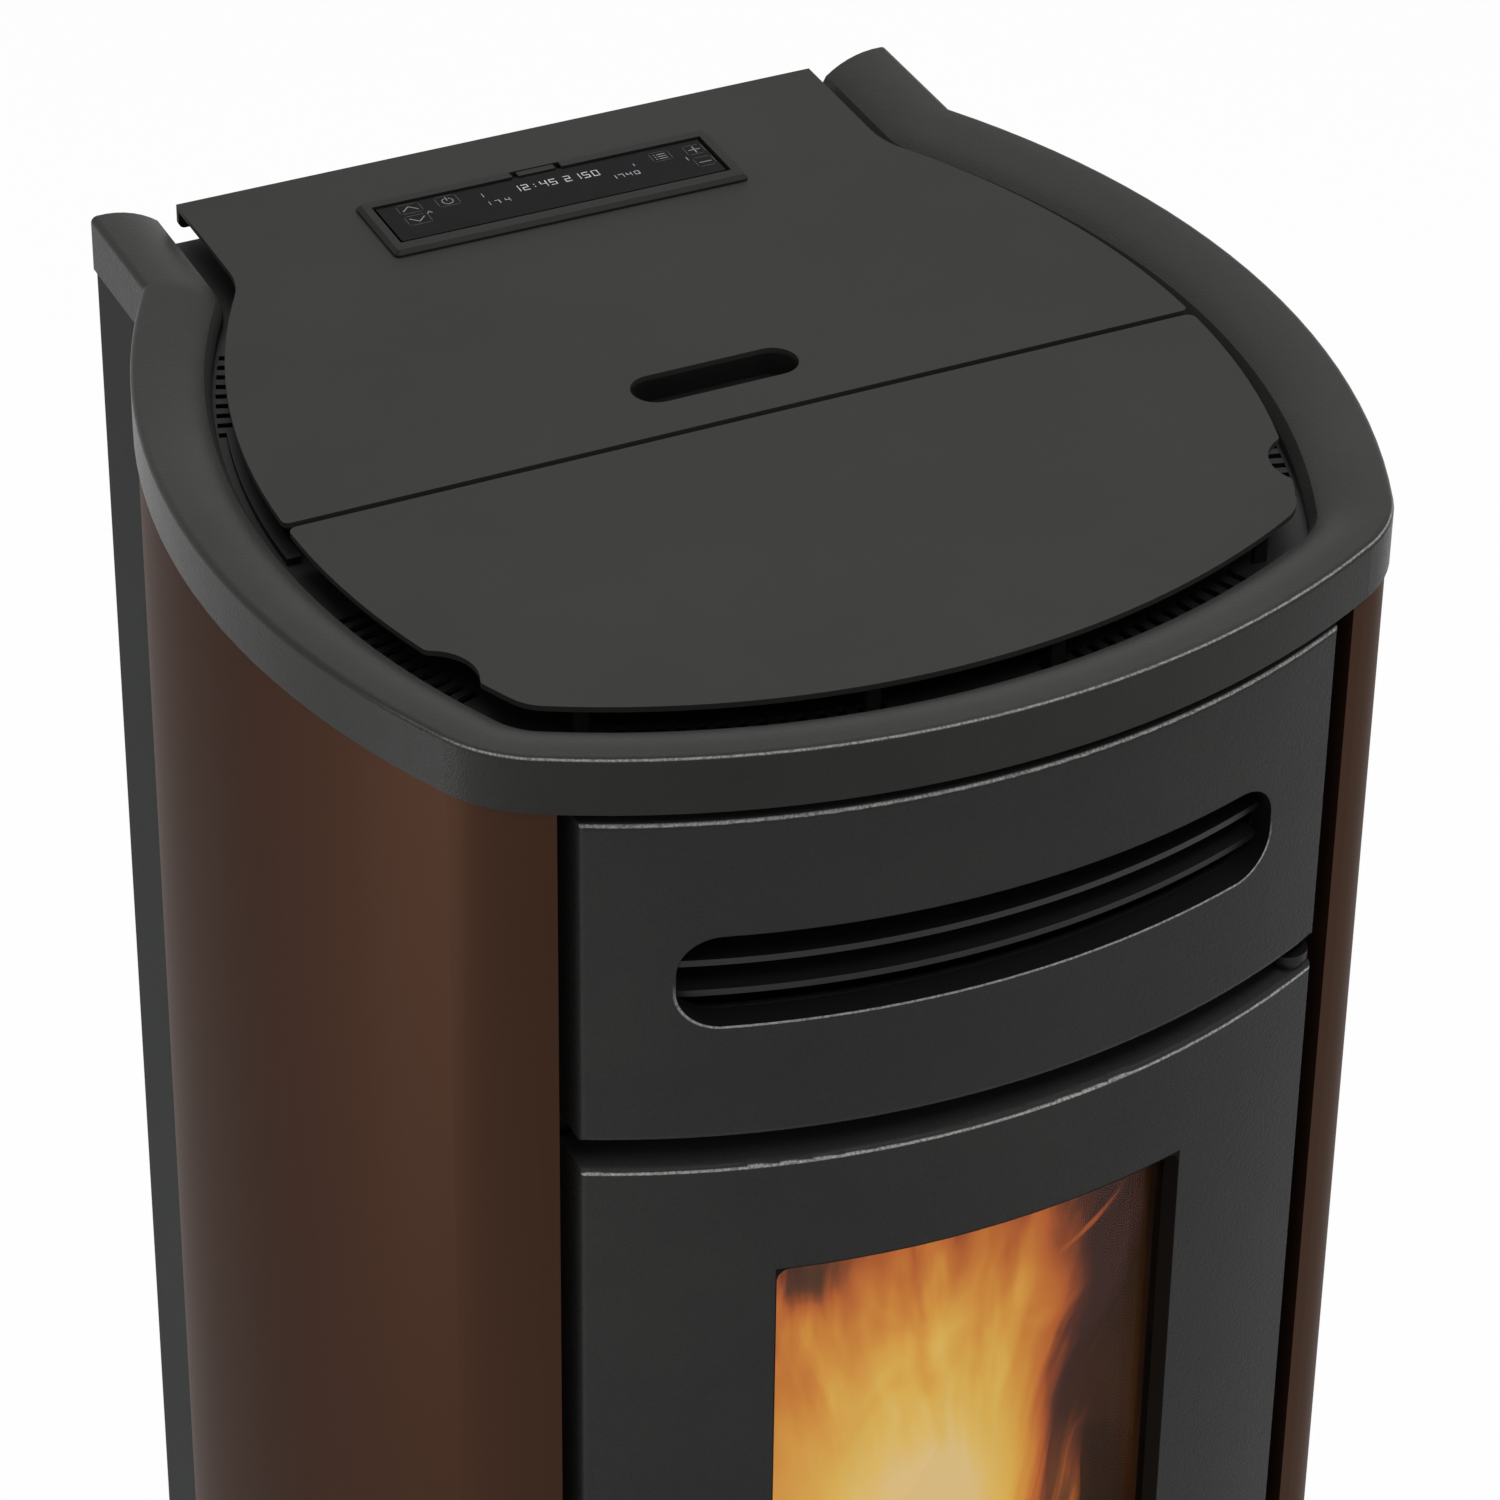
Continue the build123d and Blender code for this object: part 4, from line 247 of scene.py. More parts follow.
def window_mask(t, half, low, high):
    """Mask of the door's window opening, where the casting gets painted shade."""
    x, _, z = t.split()
    between = t.product(t.math("GREATER_THAN", z, low), t.math("LESS_THAN", z, high))
    return t.product(t.math("LESS_THAN", t.math("ABSOLUTE", x), half), between)


def coated(name, dark, light, grain, relief, rough, mottle=9.0, metallic=0.0, level=0.5, edge=0.0,
           window=None, slot=None, rims=()):
    """Painted or enamelled metal: two tones in soft clouds, fine grain and a little relief.

    edge is the strength of the painted highlight along its edges or rims; a window and a slot get painted shade
    inside and are dull there.
    """
    t = Tree(name)
    clouds = t.noise(mottle, 4.0, 0.6)
    fine = t.noise(grain, 2.0, 0.6)
    mix = t.math("ADD", t.product(clouds, 0.65), t.product(fine, 0.35))
    color = t.ramp(mix, [(0.32, dark), (0.68, light)])
    gloss = t.spread(fine, 0.3, 0.7, rough - 0.05, rough + 0.06)
    if edge:
        # painted highlights along the front edges or rims
        color = t.blend(painted_edge_highlights(t, edge, rims), color, linear(PAINTED_HIGHLIGHT))
    if slot:
        inside, rim = slot_masks(t, **slot)
        # painted shade inside the slot
        color = t.blend(inside, color, linear(SLOT_SHADE))
        gloss = t.math("MAXIMUM", gloss, t.product(inside, 0.8))
        # painted highlight along the slot's lower rim
        color = t.blend(t.product(rim, t.spread(fine, 0.35, 0.6, 0.3, 0.75)), color, linear(PAINTED_HIGHLIGHT))
    if window:
        inside = window_mask(t, **window)
        # painted shade inside the window opening
        color = t.blend(inside, color, linear(WINDOW_SHADE))
        gloss = t.math("MAXIMUM", gloss, t.product(inside, 0.95))
    t.set("Base Color", color)
    t.set("Roughness", gloss)
    t.set("Metallic", metallic)
    t.set("Specular IOR Level", level)
    t.set("Normal", t.bump(fine, relief, 0.0006))
    return t.mat


def bronze_paint(name, grazing):
    """Bronze metallic paint with a soft vertical sheen; grazing is the tint at a low angle."""
    t = Tree(name)
    clouds = t.noise(5.0, 3.0, 0.5, vector=t.stretch(z=0.25))
    flakes = t.noise(3200, 2.0, 0.6)
    mix = t.math("ADD", t.product(clouds, 0.7), t.product(flakes, 0.3))
    t.set("Base Color", t.ramp(mix, [(0.3, "#3c2920"), (0.7, "#442f24")]))
    t.set("Metallic", 0.55)
    t.set("Specular Tint", linear(grazing))
    t.set("Specular IOR Level", 0.03)
    t.set("Roughness", t.spread(flakes, 0.3, 0.7, 0.40, 0.48))
    t.set("Normal", t.bump(flakes, 0.05, 0.0004))
    return t.mat


def rope_fibre():
    """Braided glass fibre."""
    t = Tree("rope_fibre")
    wave = t.add("ShaderNodeTexWave", wave_type="BANDS", bands_direction="DIAGONAL")
    wave.inputs["Scale"].default_value = 160
    wave.inputs["Distortion"].default_value = 2.0
    t.links.new(t.place, wave.inputs["Vector"])
    t.set("Base Color", t.ramp(wave.outputs["Fac"], [(0.2, "#2b2a28"), (0.8, "#55524c")]))
    t.set("Roughness", 0.9)
    t.set("Normal", t.bump(wave.outputs["Fac"], 0.5, 0.001))
    return t.mat


def window_glass():
    """Ceramic glass: lets the fire through with a faint brown film."""
    t = Tree("window_glass")
    smear = t.noise(14.0, 4.0, 0.6, 0.4, vector=t.stretch(z=0.5))
    t.set("Base Color", t.ramp(smear, [(0.3, "#160e0b"), (0.75, "#20140f")]))
    t.set("Roughness", t.spread(smear, 0.3, 0.7, 0.03, 0.08))
    t.set("Specular IOR Level", 0.6)
    t.set("Alpha", t.spread(smear, 0.3, 0.75, 0.07, 0.12))
    return t.mat


def screen_glass():
    """Black touch glass with a trace of fingerprints."""
    t = Tree("screen_glass")
    smudge = t.noise(60.0, 4.0, 0.7, 0.6)
    t.set("Base Color", t.ramp(smudge, [(0.3, "#090909"), (0.8, "#0e0e0f")]))
    t.set("Roughness", t.spread(smudge, 0.35, 0.75, 0.16, 0.32))
    t.set("Specular IOR Level", 0.035)
    t.set("Normal", t.bump(smudge, 0.02, 0.0002))
    return t.mat


def dress(material, *names):
    """Give a material to CAD nodes."""
    for name in names:
        slots = nodes[name].data.materials
        if len(slots) == 0:
            slots.append(material)
        for i in range(len(slots)):
            slots[i] = material


# The castings and the ring get painted highlights along their rims or rounded edges (edge)
casting = dict(dark="#303030", light="#373736", grain=620, relief=0.4, rough=0.3, level=0.045, edge=1.0)
dress(coated("ring_enamel", "#2c2c2b", "#333332", 900, 0.34, 0.33, level=0.06, edge=0.65), "top_ring")
dress(coated("cast_enamel", **casting, rims=(DRAWER_RIM,)), "ash_drawer_front")
dress(coated("grille_enamel", **casting, rims=(GRILLE_RIM,), slot=AIR_SLOT), "grille_panel")
dress(coated("door_enamel", **casting, rims=(DOOR_RIM,), window=DOOR_WINDOW), "door_casting")
dress(coated("lid_coat", "#242422", "#292927", 2000, 0.08, 0.62, level=0.13), "hopper_lid", "front_plate")
dress(coated("tray_coat", "#0b0b0b", "#111110", 1800, 0.08, 0.5, level=0.2),
      "vent_tray", "finger_cup", "lid_hinge_fixed", "lid_hinge_moving", "door_hinge_brackets")
dress(coated("louvre_coat", "#161716", "#1c1d1c", 1200, 0.1, 0.4, level=0.3), "louvre_insert")
# One bronze paint in two copies: the left's darker grazing tint is painted shade, the right's lighter one a
# painted sheen
dress(bronze_paint("bronze_paint_left_shaded", "#8c8682"), "bronze_panel_left")
dress(bronze_paint("bronze_paint_right_lit", "#bcb4ae"), "bronze_panel_right")
dress(coated("side_coat", "#161817", "#1b1d1c", 1900, 0.08, 0.5, level=0.035),
      "rear_side_panel_left", "rear_side_panel_right", "rear_panel")
dress(coated("black_coat", "#121212", "#1a1a19", 1500, 0.1, 0.45, level=0.3),
      "base_plate", "front_post_left", "front_post_right", "ash_housing", "ash_drawer_pan",
      "fume_channel", "pellet_chute", "door_handle", "heat_exchanger")
dress(coated("bezel_plastic", "#181817", "#1d1d1b", 2600, 0.06, 0.5, level=0.1), "display_bezel", "display_module")
dress(screen_glass(), "display_screen")
dress(coated("dark_plastic", "#101010", "#171717", 2600, 0.08, 0.45, level=0.35), "mains_inlet", "rocker_switch")
dress(window_glass(), "door_glass")
dress(rope_fibre(), "door_rope", "glass_gasket")
dress(coated("rubber", "#0f0f0f", "#171717", 900, 0.2, 0.75, level=0.2),
      "hopper_gasket", "foot_front_right", "foot_front_left", "foot_rear_right", "foot_rear_left")
dress(coated("sooty_steel", "#1f1814", "#30261f", 260, 0.12, 0.75, mottle=22, level=0.15),
      "firebox_shell", "smoke_baffle", "firebox_liner")
dress(coated("raw_cast", "#3a3531", "#4d4741", 420, 0.4, 0.72, mottle=16, metallic=0.3),
      "brazier_holder", "brazier", "fume_fan_housing")
dress(coated("motor_lacquer", "#3b3d40", "#4a4c50", 1600, 0.06, 0.4, metallic=0.4),
      "auger_gearmotor", "fume_fan_motor", "room_fan_motor")
dress(coated("board_green", "#0d3a20", "#14502c", 700, 0.1, 0.4), "control_board")
dress(coated("zinc", "#8d9194", "#a6aaad", 240, 0.05, 0.34, mottle=60, metallic=0.9),
      "hopper", "auger_tube", "auger_screw", "glass_clips", "door_keeper", "panel_screws", "room_fan_housing",
      "igniter", "fume_impeller", "room_fan_drum", "latch_cam")


# ---------------------------------------------------------------- signs on the display, in mm
SCREEN_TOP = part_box("display_screen")[1][2] / MM
BAR_FACES = ((0, 1, 2, 3), (7, 6, 5, 4), (0, 4, 5, 1), (1, 5, 6, 2), (2, 6, 7, 3), (3, 7, 4, 0))
SEGMENTS = {"0": "abcdef", "1": "bc", "2": "abged", "3": "abgcd", "4": "fgbc", "5": "afgcd",
            "6": "afgedc", "7": "abc", "8": "abcdefg", "9": "abfgcd"}
SEGMENT_ENDS = {"a": ((0, 1), (1, 1)), "b": ((1, 1), (1, .5)), "c": ((1, .5), (1, 0)), "d": ((0, 0), (1, 0)),
                "e": ((0, .5), (0, 0)), "f": ((0, 1), (0, .5)), "g": ((0, .5), (1, .5))}
COLON_HEIGHTS = (0.25, 0.7)
DOT = 0.25


def stroke_mesh(name, lines, wide, low, thick):
    """Flat ribbons along polylines lying on a level plane, as one mesh of thin closed bars."""
    verts, faces = [], []
    for line in lines:
        for (x0, y0), (x1, y1) in zip(line, line[1:]):
            run = math.hypot(x1 - x0, y1 - y0)
            tx, ty = (x1 - x0) / run, (y1 - y0) / run
            ex, ey = tx * wide / 2, ty * wide / 2
            nx, ny = -ty * wide / 2, tx * wide / 2
            base = len(verts)
            for z in (low, low + thick):
                for px, py in ((x0 - ex + nx, y0 - ey + ny), (x0 - ex - nx, y0 - ey - ny),
                               (x1 + ex - nx, y1 + ey - ny), (x1 + ex + nx, y1 + ey + ny)):
                    verts.append((px * MM, py * MM, z * MM))
            faces += [tuple(base + k for k in quad) for quad in BAR_FACES]
    return new_mesh(name, verts, faces)


def lit(name, code, strength, dim):
    """Light-emitting print: brightness wavers a little from stroke to stroke."""
    t = Tree(name)
    waver = t.noise(420, 2.0, 0.6)
    t.set("Base Color", t.ramp(waver, [(0.3, "#0c0c0d"), (0.7, "#141416")]))
    t.set("Emission Color", linear(code))
    t.set("Emission Strength", t.spread(waver, 0.35, 0.65, strength * dim, strength))
    t.set("Roughness", 0.5)
    return t.mat


def digits(text, x, y, wide, tall, step, slope=0.0):
    """Seven-segment strokes for a row of digits, starting at x, y."""
    lines = []
    for place, sign in enumerate(text):
        x0 = x + place * step
        y0 = y + slope * place * step
        if sign == ":":
            lines += [[(x0 + wide / 2, y0 + tall * k), (x0 + wide / 2, y0 + tall * k + DOT)]
                      for k in COLON_HEIGHTS]
        for key in SEGMENTS.get(sign, ""):
            (ax, ay), (bx, by) = SEGMENT_ENDS[key]
            lines.append([(x0 + ax * wide, y0 + ay * tall), (x0 + bx * wide, y0 + by * tall)])
    return lines


def arc(cx, cy, r, a0, a1, n=14):
    """Points on an arc, between two angles in degrees."""
    return [(cx + r * math.cos(math.radians(a0 + (a1 - a0) * k / n)),
             cy + r * math.sin(math.radians(a0 + (a1 - a0) * k / n))) for k in range(n + 1)]


def soft_box(cx, cy, half_x, half_y, r=1.0):
    """Closed outline with rounded corners."""
    line = []
    for sx, sy, a in ((1, 1, 0), (-1, 1, 90), (-1, -1, 180), (1, -1, 270)):
        line += arc(cx + sx * (half_x - r), cy + sy * (half_y - r), r, a, a + 90, 4)
    return line + line[:1]


def show_on_display(name, lines, wide, thick, material):
    """Lit strokes on the display's glass."""
    put_in_scene(stroke_mesh(name, lines, wide, SCREEN_TOP, thick), material, "display")


up_arrow = [(-68, 182.6), (-64.5, 186), (-61, 182.6)]
down_arrow = [(-68, 175.4), (-64.5, 172), (-61, 175.4)]
power_sign = [arc(-46.4, 183.6, 2.5, 120, 420), [(-46.4, 184.2), (-46.4, 187)]]
small_arrow = [(-58.6, 177), (-57.6, 178.6), (-56.6, 177)]
plus_sign = [[(70.6, 181.5), (76.0, 181.5)], [(73.3, 178.9), (73.3, 184.1)]]
minus_sign = [(70.6, 169.4), (76.0, 169.4)]
small_bar = [(66.8, 173.6), (66.8, 176.2)]
list_rows = [180 + k * 1.9 for k in range(3)]
list_dots = [[(54.2, y), (54.5, y)] for y in list_rows]
list_lines = [[(55.8, y), (59.4, y)] for y in list_rows]
signs = [up_arrow, down_arrow, *power_sign, small_arrow, *plus_sign, minus_sign, small_bar]
show_on_display("display_signs", signs + list_dots + list_lines, 0.5, 0.06,
                lit("sign_print", "#a9aaa8", 0.5, 0.6))
frames = [soft_box(-64.5, 184.2, 5.4, 4.0), soft_box(-64.5, 173.7, 5.4, 4.0), soft_box(-46.4, 183.9, 5.0, 4.4),
          soft_box(56.9, 182, 4.6, 4.0), soft_box(73.3, 181.5, 4.4, 4.0), soft_box(73.3, 170.0, 4.4, 4.0)]
show_on_display("display_frames", frames, 0.28, 0.04, lit("frame_print", "#5a5a58", 0.1, 0.5))
shown = digits("12:45", -15.6, 178.6, 2.6, 4.6, 4.4, -0.03) + digits("2150", 9.0, 178.0, 2.6, 4.6, 4.5, -0.03)
show_on_display("display_digits", shown, 0.42, 0.08, lit("digit_light", "#e8ecf0", 0.85, 0.45))
small = digits("1", -31.5, 180.4, 1.2, 2.8, 2) + digits("174", -32, 172.6, 1.9, 2.6, 4.8)
small += digits("1740", 28.6, 171.4, 2.1, 2.8, 3.8) + digits("1", 41.6, 178.8, 1.0, 1.6, 2)
show_on_display("display_small_digits", small, 0.3, 0.08, lit("small_digit_light", "#d4d8e6", 0.75, 0.4))


# ---------------------------------------------------------------- fire behind the glass
FLAME_TONES = [(0.0, "#3a2520"), (0.10, "#522e23"), (0.22, "#8a4628"), (0.34, "#b8622f"), (0.50, "#ca7c35"),
               (0.66, "#d99a42"), (0.80, "#e0b252"), (0.92, "#e3bd68"), (1.0, "#e4c486")]
FAN_DEPTH = 0.22        # the streaks fan out from this far below the core
TEAR_RISE = 0.13        # the flames are torn from the core up to this far above it
BLOT_HALF = (0.016, 0.028)
WISP_ROOT = (0.058, 0.657)
WISP_AIM = (0.774, 0.633)
WISP_LONG = 0.085
WISP_BEND = 1.2
SHEET_ACROSS, SHEET_ALONG = 24, 40


def dark_blot(t, x, z, place, ragged):
    """How much a dark patch of smoke takes from the flame around a place."""
    dx = t.math("DIVIDE", t.math("SUBTRACT", x, place[0]), BLOT_HALF[0])
    dz = t.math("DIVIDE", t.math("SUBTRACT", z, place[1]), BLOT_HALF[1])
    return t.spread(t.math("ADD", t.distance(dx, dz), ragged), 0.0, 1.3, 0.32, 0.0, smooth=True)


def wisp_mask(t, x, z):
    """Mask of the thin curved lick that leaves the fire to the upper right."""
    ax = t.math("SUBTRACT", x, WISP_ROOT[0])
    az = t.math("SUBTRACT", z, WISP_ROOT[1])
    along = t.math("ADD", t.product(ax, WISP_AIM[0]), t.product(az, WISP_AIM[1]))
    aside = t.math("SUBTRACT", t.product(az, WISP_AIM[0]), t.product(ax, WISP_AIM[1]))
    bend = t.product(along, t.math("SUBTRACT", along, WISP_LONG), WISP_BEND)
    off = t.math("ABSOLUTE", t.math("ADD", aside, bend))
    thin = t.math("DIVIDE", off, t.spread(along, 0.0, WISP_LONG, 0.0065, 0.0015))
    ends = t.product(t.spread(along, 0.0, 0.03), t.spread(along, 0.06, 0.088, 1.0, 0.0))
    return t.product(t.spread(thin, 0.2, 1.0, 1.0, 0.0, smooth=True), ends)


def flame_material(name, core, core_size, half, seed, body=0.95, heat=1.0, top=0.80, blot=None, lean=None):
    """Flame: warm tones by distance from a bright core, torn into upright streaks; clear at its edges.

    core is its x and z, core_size how far it fades across and up, half the flame's half width. lean is the x of
    the right boundary at z = 0 and how much it moves with z; a flame that leans also has the thin lick.
    """
    core_x, core_z = core
    t = Tree(name)
    x, _, z = t.split()
    sway = t.noise(7.0, 3.0, 0.55, 0.3, vector=t.stretch(z=0.7, shift=(seed, 0, seed * 1.7)))
    lick = t.noise(26.0, 4.0, 0.6, 0.8, vector=t.stretch(z=0.34, shift=(0, seed, seed)))
    ragged = t.centred(lick)
    xs = t.math("ADD", x, t.product(t.centred(sway), 0.06))
    from_core = t.math("SUBTRACT", xs, core_x)

    fan = t.add("ShaderNodeCombineXYZ")
    t.put(fan.inputs[0], t.math("DIVIDE", t.product(from_core, 0.30), t.math("SUBTRACT", z, core_z - FAN_DEPTH)))
    t.put(fan.inputs[1], seed)
    t.put(fan.inputs[2], t.product(z, 0.13))
    streaky = t.centred(t.noise(62.0, 4.0, 0.6, 0.3, vector=fan.outputs[0]))

    dx = t.math("DIVIDE", from_core, core_size[0])
    dz = t.math("DIVIDE", t.math("SUBTRACT", z, core_z), core_size[1])
    glow = t.math("SUBTRACT", 1.0, t.distance(dx, dz))
    torn = t.product(streaky, t.spread(z, core_z, core_z + TEAR_RISE, 0.08, 0.62))
    patches = t.product(ragged, t.spread(z, core_z, core_z + TEAR_RISE, 0.10, 0.8))
    level = t.math("ADD", glow, t.math("ADD", torn, patches))
    level = t.product(t.math("ADD", level, 0.20), heat)
    if blot:
        level = t.math("SUBTRACT", level, dark_blot(t, x, z, blot, ragged))
    if lean:
        reach = t.math("ADD", t.product(z, lean[1]), lean[0])
        side_right = t.math("ADD", t.math("DIVIDE", xs, reach), t.product(streaky, 0.55))
        level = t.math("SUBTRACT", level, t.spread(side_right, 0.66, 1.2, 0.0, 0.60, smooth=True))
        wisp = wisp_mask(t, x, z)
        level = t.math("MAXIMUM", level, t.product(wisp, 0.27))
        left = t.spread(t.math("DIVIDE", xs, -half), 0.90, 1.02, 1.0, 0.0, smooth=True)
        right = t.math("MAXIMUM", t.spread(side_right, 0.98, 1.22, 1.0, 0.0, smooth=True), wisp)
        across = t.product(left, right)
    else:
        side = t.math("DIVIDE", t.math("ABSOLUTE", t.math("SUBTRACT", xs, core_x * 0.4)), half)
        edge = t.math("ADD", side, t.product(ragged, 0.22))
        across = t.spread(edge, 0.90, 1.02, 1.0, 0.0, smooth=True)
    crown = t.math("ADD", z, t.product(streaky, 0.22))
    up = t.spread(crown, top - 0.05, top, 1.0, 0.0, smooth=True)
    foot = t.spread(z, 0.405, 0.43, 0.0, 1.0, smooth=True)

    t.set("Base Color", linear("#0a0504"))
    t.set("Roughness", 1.0)
    t.set("Specular IOR Level", 0.0)
    t.set("Emission Color", t.ramp(level, FLAME_TONES))
    t.set("Emission Strength", 1.08)
    t.set("Alpha", t.product(t.product(across, up), t.product(foot, body)))
    return t.mat


def flame_sheet(name, cx, wide_low, wide_top, z0, z1, y_low, y_top, curl, material):
    """Curved sheet of flame from the burning pot up to behind the glass."""
    verts, faces = [], []
    for j in range(SHEET_ALONG + 1):
        v = j / SHEET_ALONG
        ease = min(1.0, v / 0.30)
        ease = ease * ease * (3 - 2 * ease)
        half = wide_low + (wide_top - wide_low) * ease
        depth = y_low + (y_top - y_low) * ease
        for i in range(SHEET_ACROSS + 1):
            u = 2 * i / SHEET_ACROSS - 1
            ripple = 0.004 * math.sin(5.1 * u + 9 * v) + 0.003 * math.sin(13 * v + 2 * u)
            verts.append((cx + u * half, depth + curl * u * u + ripple, z0 + (z1 - z0) * v))
    row = SHEET_ACROSS + 1
    for j in range(SHEET_ALONG):
        for i in range(SHEET_ACROSS):
            a = j * row + i
            faces.append((a, a + 1, a + row + 1, a + row))
    mesh = new_mesh(name, verts, faces)
    for face in mesh.polygons:
        face.use_smooth = True
    sheet = put_in_scene(mesh, material, "cabinet")
    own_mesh(sheet)


flame_sheet("flame_front", 0.012, 0.036, 0.122, 0.406, 0.800, -0.072, -0.186, 0.020,
            flame_material("flame_front", (0.016, 0.560), (0.120, 0.200), 0.112, 1.3, top=0.87,
                           blot=(-0.038, 0.714), lean=(0.022, 0.13)))
flame_sheet("flame_middle", 0.0, 0.032, 0.085, 0.406, 0.770, -0.055, -0.125, 0.035,
            flame_material("flame_middle", (0.0, 0.530), (0.09, 0.20), 0.078, 4.1, body=0.8, top=0.76))
flame_sheet("flame_back", 0.0, 0.030, 0.075, 0.406, 0.700, -0.040, -0.070, 0.030,
            flame_material("flame_back", (0.0, 0.50), (0.08, 0.17), 0.068, 7.7, body=0.75, top=0.69))
flame_sheet("flame_licks", 0.101, 0.018, 0.034, 0.420, 0.620, -0.080, -0.140, 0.010,
            flame_material("flame_licks", (0.110, 0.430), (0.05, 0.12), 0.092, 2.9, body=0.65, heat=0.6,
                           top=0.575))


def ember_material():
    """Glowing pellets: hot cracks in a dark, ashy skin."""
    t = Tree("ember")
    heat = t.noise(190, 3.0, 0.65, 0.6)
    ash = t.noise(900, 3.0, 0.6)
    t.set("Base Color", t.ramp(ash, [(0.35, "#241c19"), (0.7, "#5c514b")]))
    t.set("Roughness", 0.9)
    t.set("Emission Color", t.ramp(heat, [(0.35, "#3a0d04"), (0.5, "#c4441a"), (0.66, "#f0a040")]))
    t.set("Emission Strength", t.spread(heat, 0.4, 0.7, 0.05, 1.3))
    t.set("Normal", t.bump(ash, 0.4, 0.0008))
    return t.mat


PELLET_RADIUS = 0.003
PELLET_SIDES = 8
PELLET_RINGS = ((-0.5, 0.72), (-0.44, 1.0), (0.44, 1.0), (0.5, 0.72))  # along its length, share of its radius


def pellet_bed(name, count, x_half, y_mid, y_half, z_low, z_high):
    """Heap of short round pellets lying at all angles in the burning pot."""
    rng = random.Random(11)
    verts, faces = [], []
    sides = PELLET_SIDES
    for _ in range(count):
        spin, tip = rng.uniform(0, math.pi), rng.gauss(0, 0.35)
        axis = Vector((math.cos(spin) * math.cos(tip), math.sin(spin) * math.cos(tip), math.sin(tip)))
        u = axis.orthogonal().normalized()
        w = axis.cross(u)
        long = rng.uniform(0.010, 0.017)
        px = rng.uniform(-x_half, x_half)
        py = rng.uniform(-y_half, y_half)
        crown = 1 - 0.5 * (abs(px) / x_half) ** 2 - 0.5 * (abs(py) / y_half) ** 2
        mid = Vector((px, y_mid + py, z_low + (z_high - z_low) * max(0.1, crown) * rng.uniform(0.55, 1.0)))
        base = len(verts)
        for along, scale in PELLET_RINGS:
            for k in range(sides):
                a = 2 * math.pi * k / sides
                around = (u * math.cos(a) + w * math.sin(a)) * PELLET_RADIUS * scale
                verts.append(tuple(mid + axis * long * along + around))
        for ring in range(len(PELLET_RINGS) - 1):
            for k in range(sides):
                a = base + ring * sides + k
                b = base + ring * sides + (k + 1) % sides
                faces.append((a, b, b + sides, a + sides))
        faces.append(tuple(base + k for k in reversed(range(sides))))
        faces.append(tuple(base + 3 * sides + k for k in range(sides)))
    return new_mesh(name, verts, faces)


put_in_scene(pellet_bed("pellet_bed", 260, 0.030, -0.0505, 0.026, 0.356, 0.398), ember_material(), "brazier")


# ---------------------------------------------------------------- stage and light
FLOOR_REACH = 40.0
FIRE_TINT = (1.0, 0.42, 0.16)


def floor_material():
    """Pale floor: keeps the shadow, and shows white to the camera, in gloss and through glass."""
    t = Tree("floor_pale")
    grain = t.noise(40.0, 3.0, 0.5)
    t.set("Base Color", t.ramp(grain, [(0.3, "#f4f4f4"), (0.7, "#f8f8f8")]))
    t.set("Roughness", 0.9)
    t.set("Specular IOR Level", 0.1)
    white = t.add("ShaderNodeEmission")
    white.inputs["Color"].default_value = WHITE
    path = t.add("ShaderNodeLightPath")
    seen = t.math("ADD", t.math("ADD", path.outputs["Is Camera Ray"], path.outputs["Is Glossy Ray"]),
                  path.outputs["Is Transmission Ray"], clamp=True)
    mix = t.add("ShaderNodeMixShader")
    t.links.new(t.product(seen, 0.96), mix.inputs[0])
    t.links.new(t.shader.outputs[0], mix.inputs[1])
    t.links.new(white.outputs[0], mix.inputs[2])
    t.links.new(mix.outputs[0], t.out.inputs["Surface"])
    return t.mat


def studio_world():
    """White surroundings: a soft light, shown brighter to the camera, in gloss and through glass."""
    world = bpy.data.worlds.new("studio")
    bpy.context.scene.world = world
    world.use_nodes = True
    add, link = world.node_tree.nodes.new, world.node_tree.links.new
    backdrop = world.node_tree.nodes["Background"]
    bright = add("ShaderNodeBackground")
    for background, strength in ((backdrop, 0.42), (bright, 1.0)):
        background.inputs["Color"].default_value = WHITE
        background.inputs["Strength"].default_value = strength
    path = add("ShaderNodeLightPath")
    direct, seen = add("ShaderNodeMath"), add("ShaderNodeMath")
    direct.operation = seen.operation = "ADD"
    seen.use_clamp = True
    link(path.outputs["Is Camera Ray"], direct.inputs[0])
    link(path.outputs["Is Transmission Ray"], direct.inputs[1])
    link(direct.outputs[0], seen.inputs[0])
    link(path.outputs["Is Glossy Ray"], seen.inputs[1])
    mix = add("ShaderNodeMixShader")
    link(seen.outputs[0], mix.inputs[0])
    link(backdrop.outputs[0], mix.inputs[1])
    link(bright.outputs[0], mix.inputs[2])
    link(mix.outputs[0], world.node_tree.nodes["World Output"].inputs["Surface"])


def lamp(name, place, aim, wide, tall, power):
    """Rectangular soft light aimed at a point, unseen by the camera."""
    data = bpy.data.lights.new(name, "AREA")
    data.shape = "RECTANGLE"
    data.size, data.size_y = wide, tall
    data.energy = power
    light = bpy.data.objects.new(name, data)
    bpy.context.scene.collection.objects.link(light)
    light.location = place
    light.rotation_euler = (Vector(aim) - Vector(place)).to_track_quat("-Z", "Y").to_euler()
    light.visible_camera = False


def fire_glow(name, place, power):
    """Small warm light inside the firebox."""
    data = bpy.data.lights.new(name, "POINT")
    data.energy = power
    data.color = FIRE_TINT
    data.shadow_soft_size = 0.03
    light = bpy.data.objects.new(name, data)
    bpy.context.scene.collection.objects.link(light)
    light.location = place


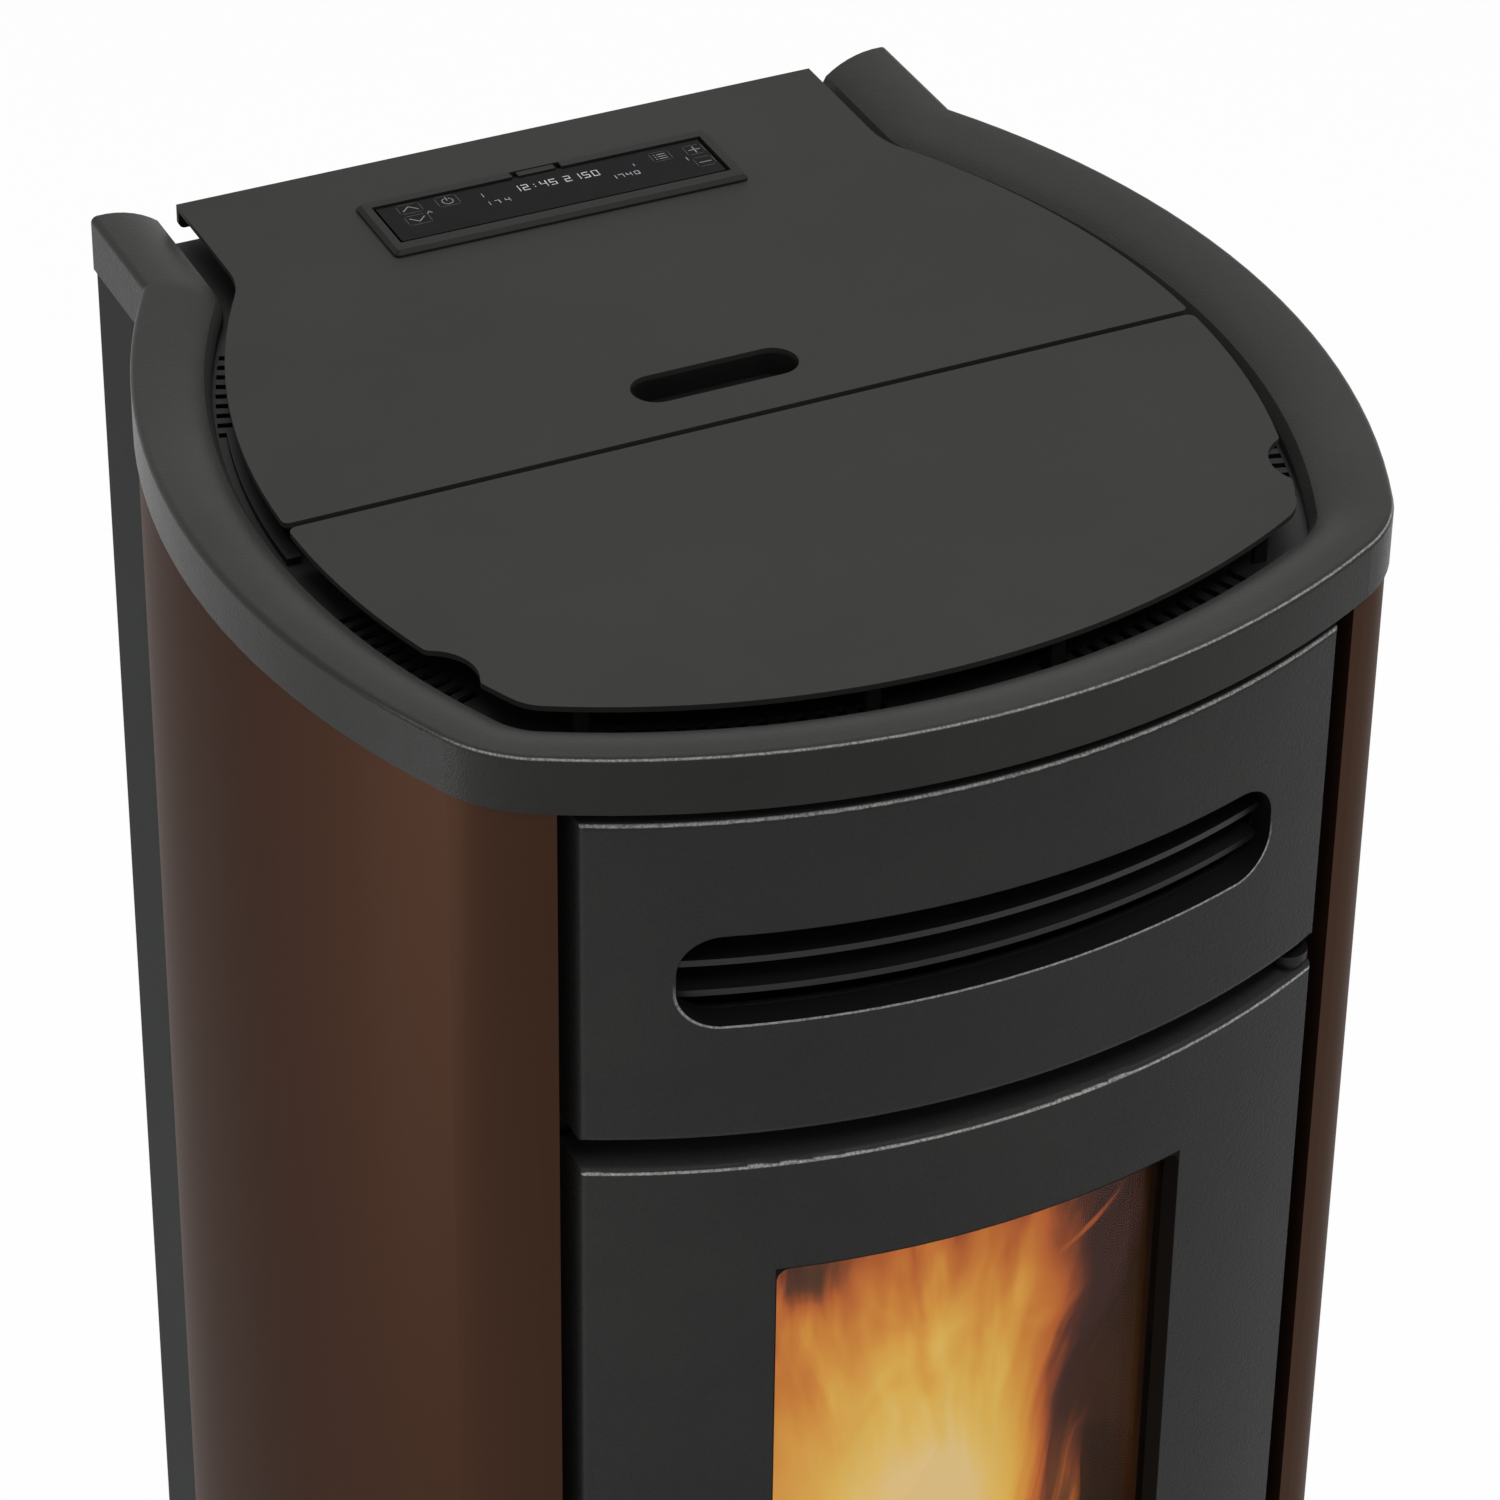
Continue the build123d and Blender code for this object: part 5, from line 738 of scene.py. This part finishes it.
floor_corners = [(-FLOOR_REACH, -FLOOR_REACH, 0), (FLOOR_REACH, -FLOOR_REACH, 0),
                 (FLOOR_REACH, FLOOR_REACH, 0), (-FLOOR_REACH, FLOOR_REACH, 0)]
floor_mesh = new_mesh("floor", floor_corners, [(0, 1, 2, 3)])
floor = bpy.data.objects.new("floor", floor_mesh)
bpy.context.scene.collection.objects.link(floor)
floor_mesh.materials.append(floor_material())

studio_world()
lamp("top_light", (0.3, 0.9, 3.2), (0, 0, 1.0), 2.4, 1.6, 30)
lamp("edge_light", (0.6, -1.0, 2.9), (0, -0.25, 0.95), 2.6, 0.08, 26)
lamp("left_strip", (-1.55, 0.12, 0.45), (-0.2, -0.15, 0.6), 0.14, 0.9, 8)
lamp("left_light", (-3.2, -0.6, 1.7), (0, 0, 0.8), 1.2, 1.8, 8)
fire_glow("fire_glow_0", (0, -0.10, 0.52), 2.2)
fire_glow("fire_glow_1", (0, -0.06, 0.44), 0.8)


# ---------------------------------------------------------------- camera, solved from the photograph
VIEW_AZIMUTH = math.radians(-25.854)
VIEW_ELEVATION = math.radians(34.702)
VIEW_ROLL = math.radians(-0.826)
FOCAL_PIXELS = 5907
FRAME_PIXELS = 1500
SENSOR_WIDTH = 36.0
CAMERA_PLACE = Vector((-0.9225, -1.9402, 2.3512))

forward = Vector((-math.sin(VIEW_AZIMUTH) * math.cos(VIEW_ELEVATION),
                  math.cos(VIEW_AZIMUTH) * math.cos(VIEW_ELEVATION), -math.sin(VIEW_ELEVATION)))
right = Vector((math.cos(VIEW_AZIMUTH), math.sin(VIEW_AZIMUTH), 0))
up = right.cross(forward)
right_rolled = right * math.cos(VIEW_ROLL) - up * math.sin(VIEW_ROLL)
up_rolled = right * math.sin(VIEW_ROLL) + up * math.cos(VIEW_ROLL)
camera_data = bpy.data.cameras.new("camera")
camera_data.sensor_width = SENSOR_WIDTH
camera_data.sensor_fit = "HORIZONTAL"
camera_data.lens = FOCAL_PIXELS / FRAME_PIXELS * SENSOR_WIDTH
camera = bpy.data.objects.new("camera", camera_data)
bpy.context.scene.collection.objects.link(camera)
turn = Matrix((right_rolled, up_rolled, -forward)).transposed()
camera.matrix_world = Matrix.Translation(CAMERA_PLACE) @ turn.to_4x4()
bpy.context.scene.camera = camera
bpy.context.scene.view_settings.view_transform = "Standard"
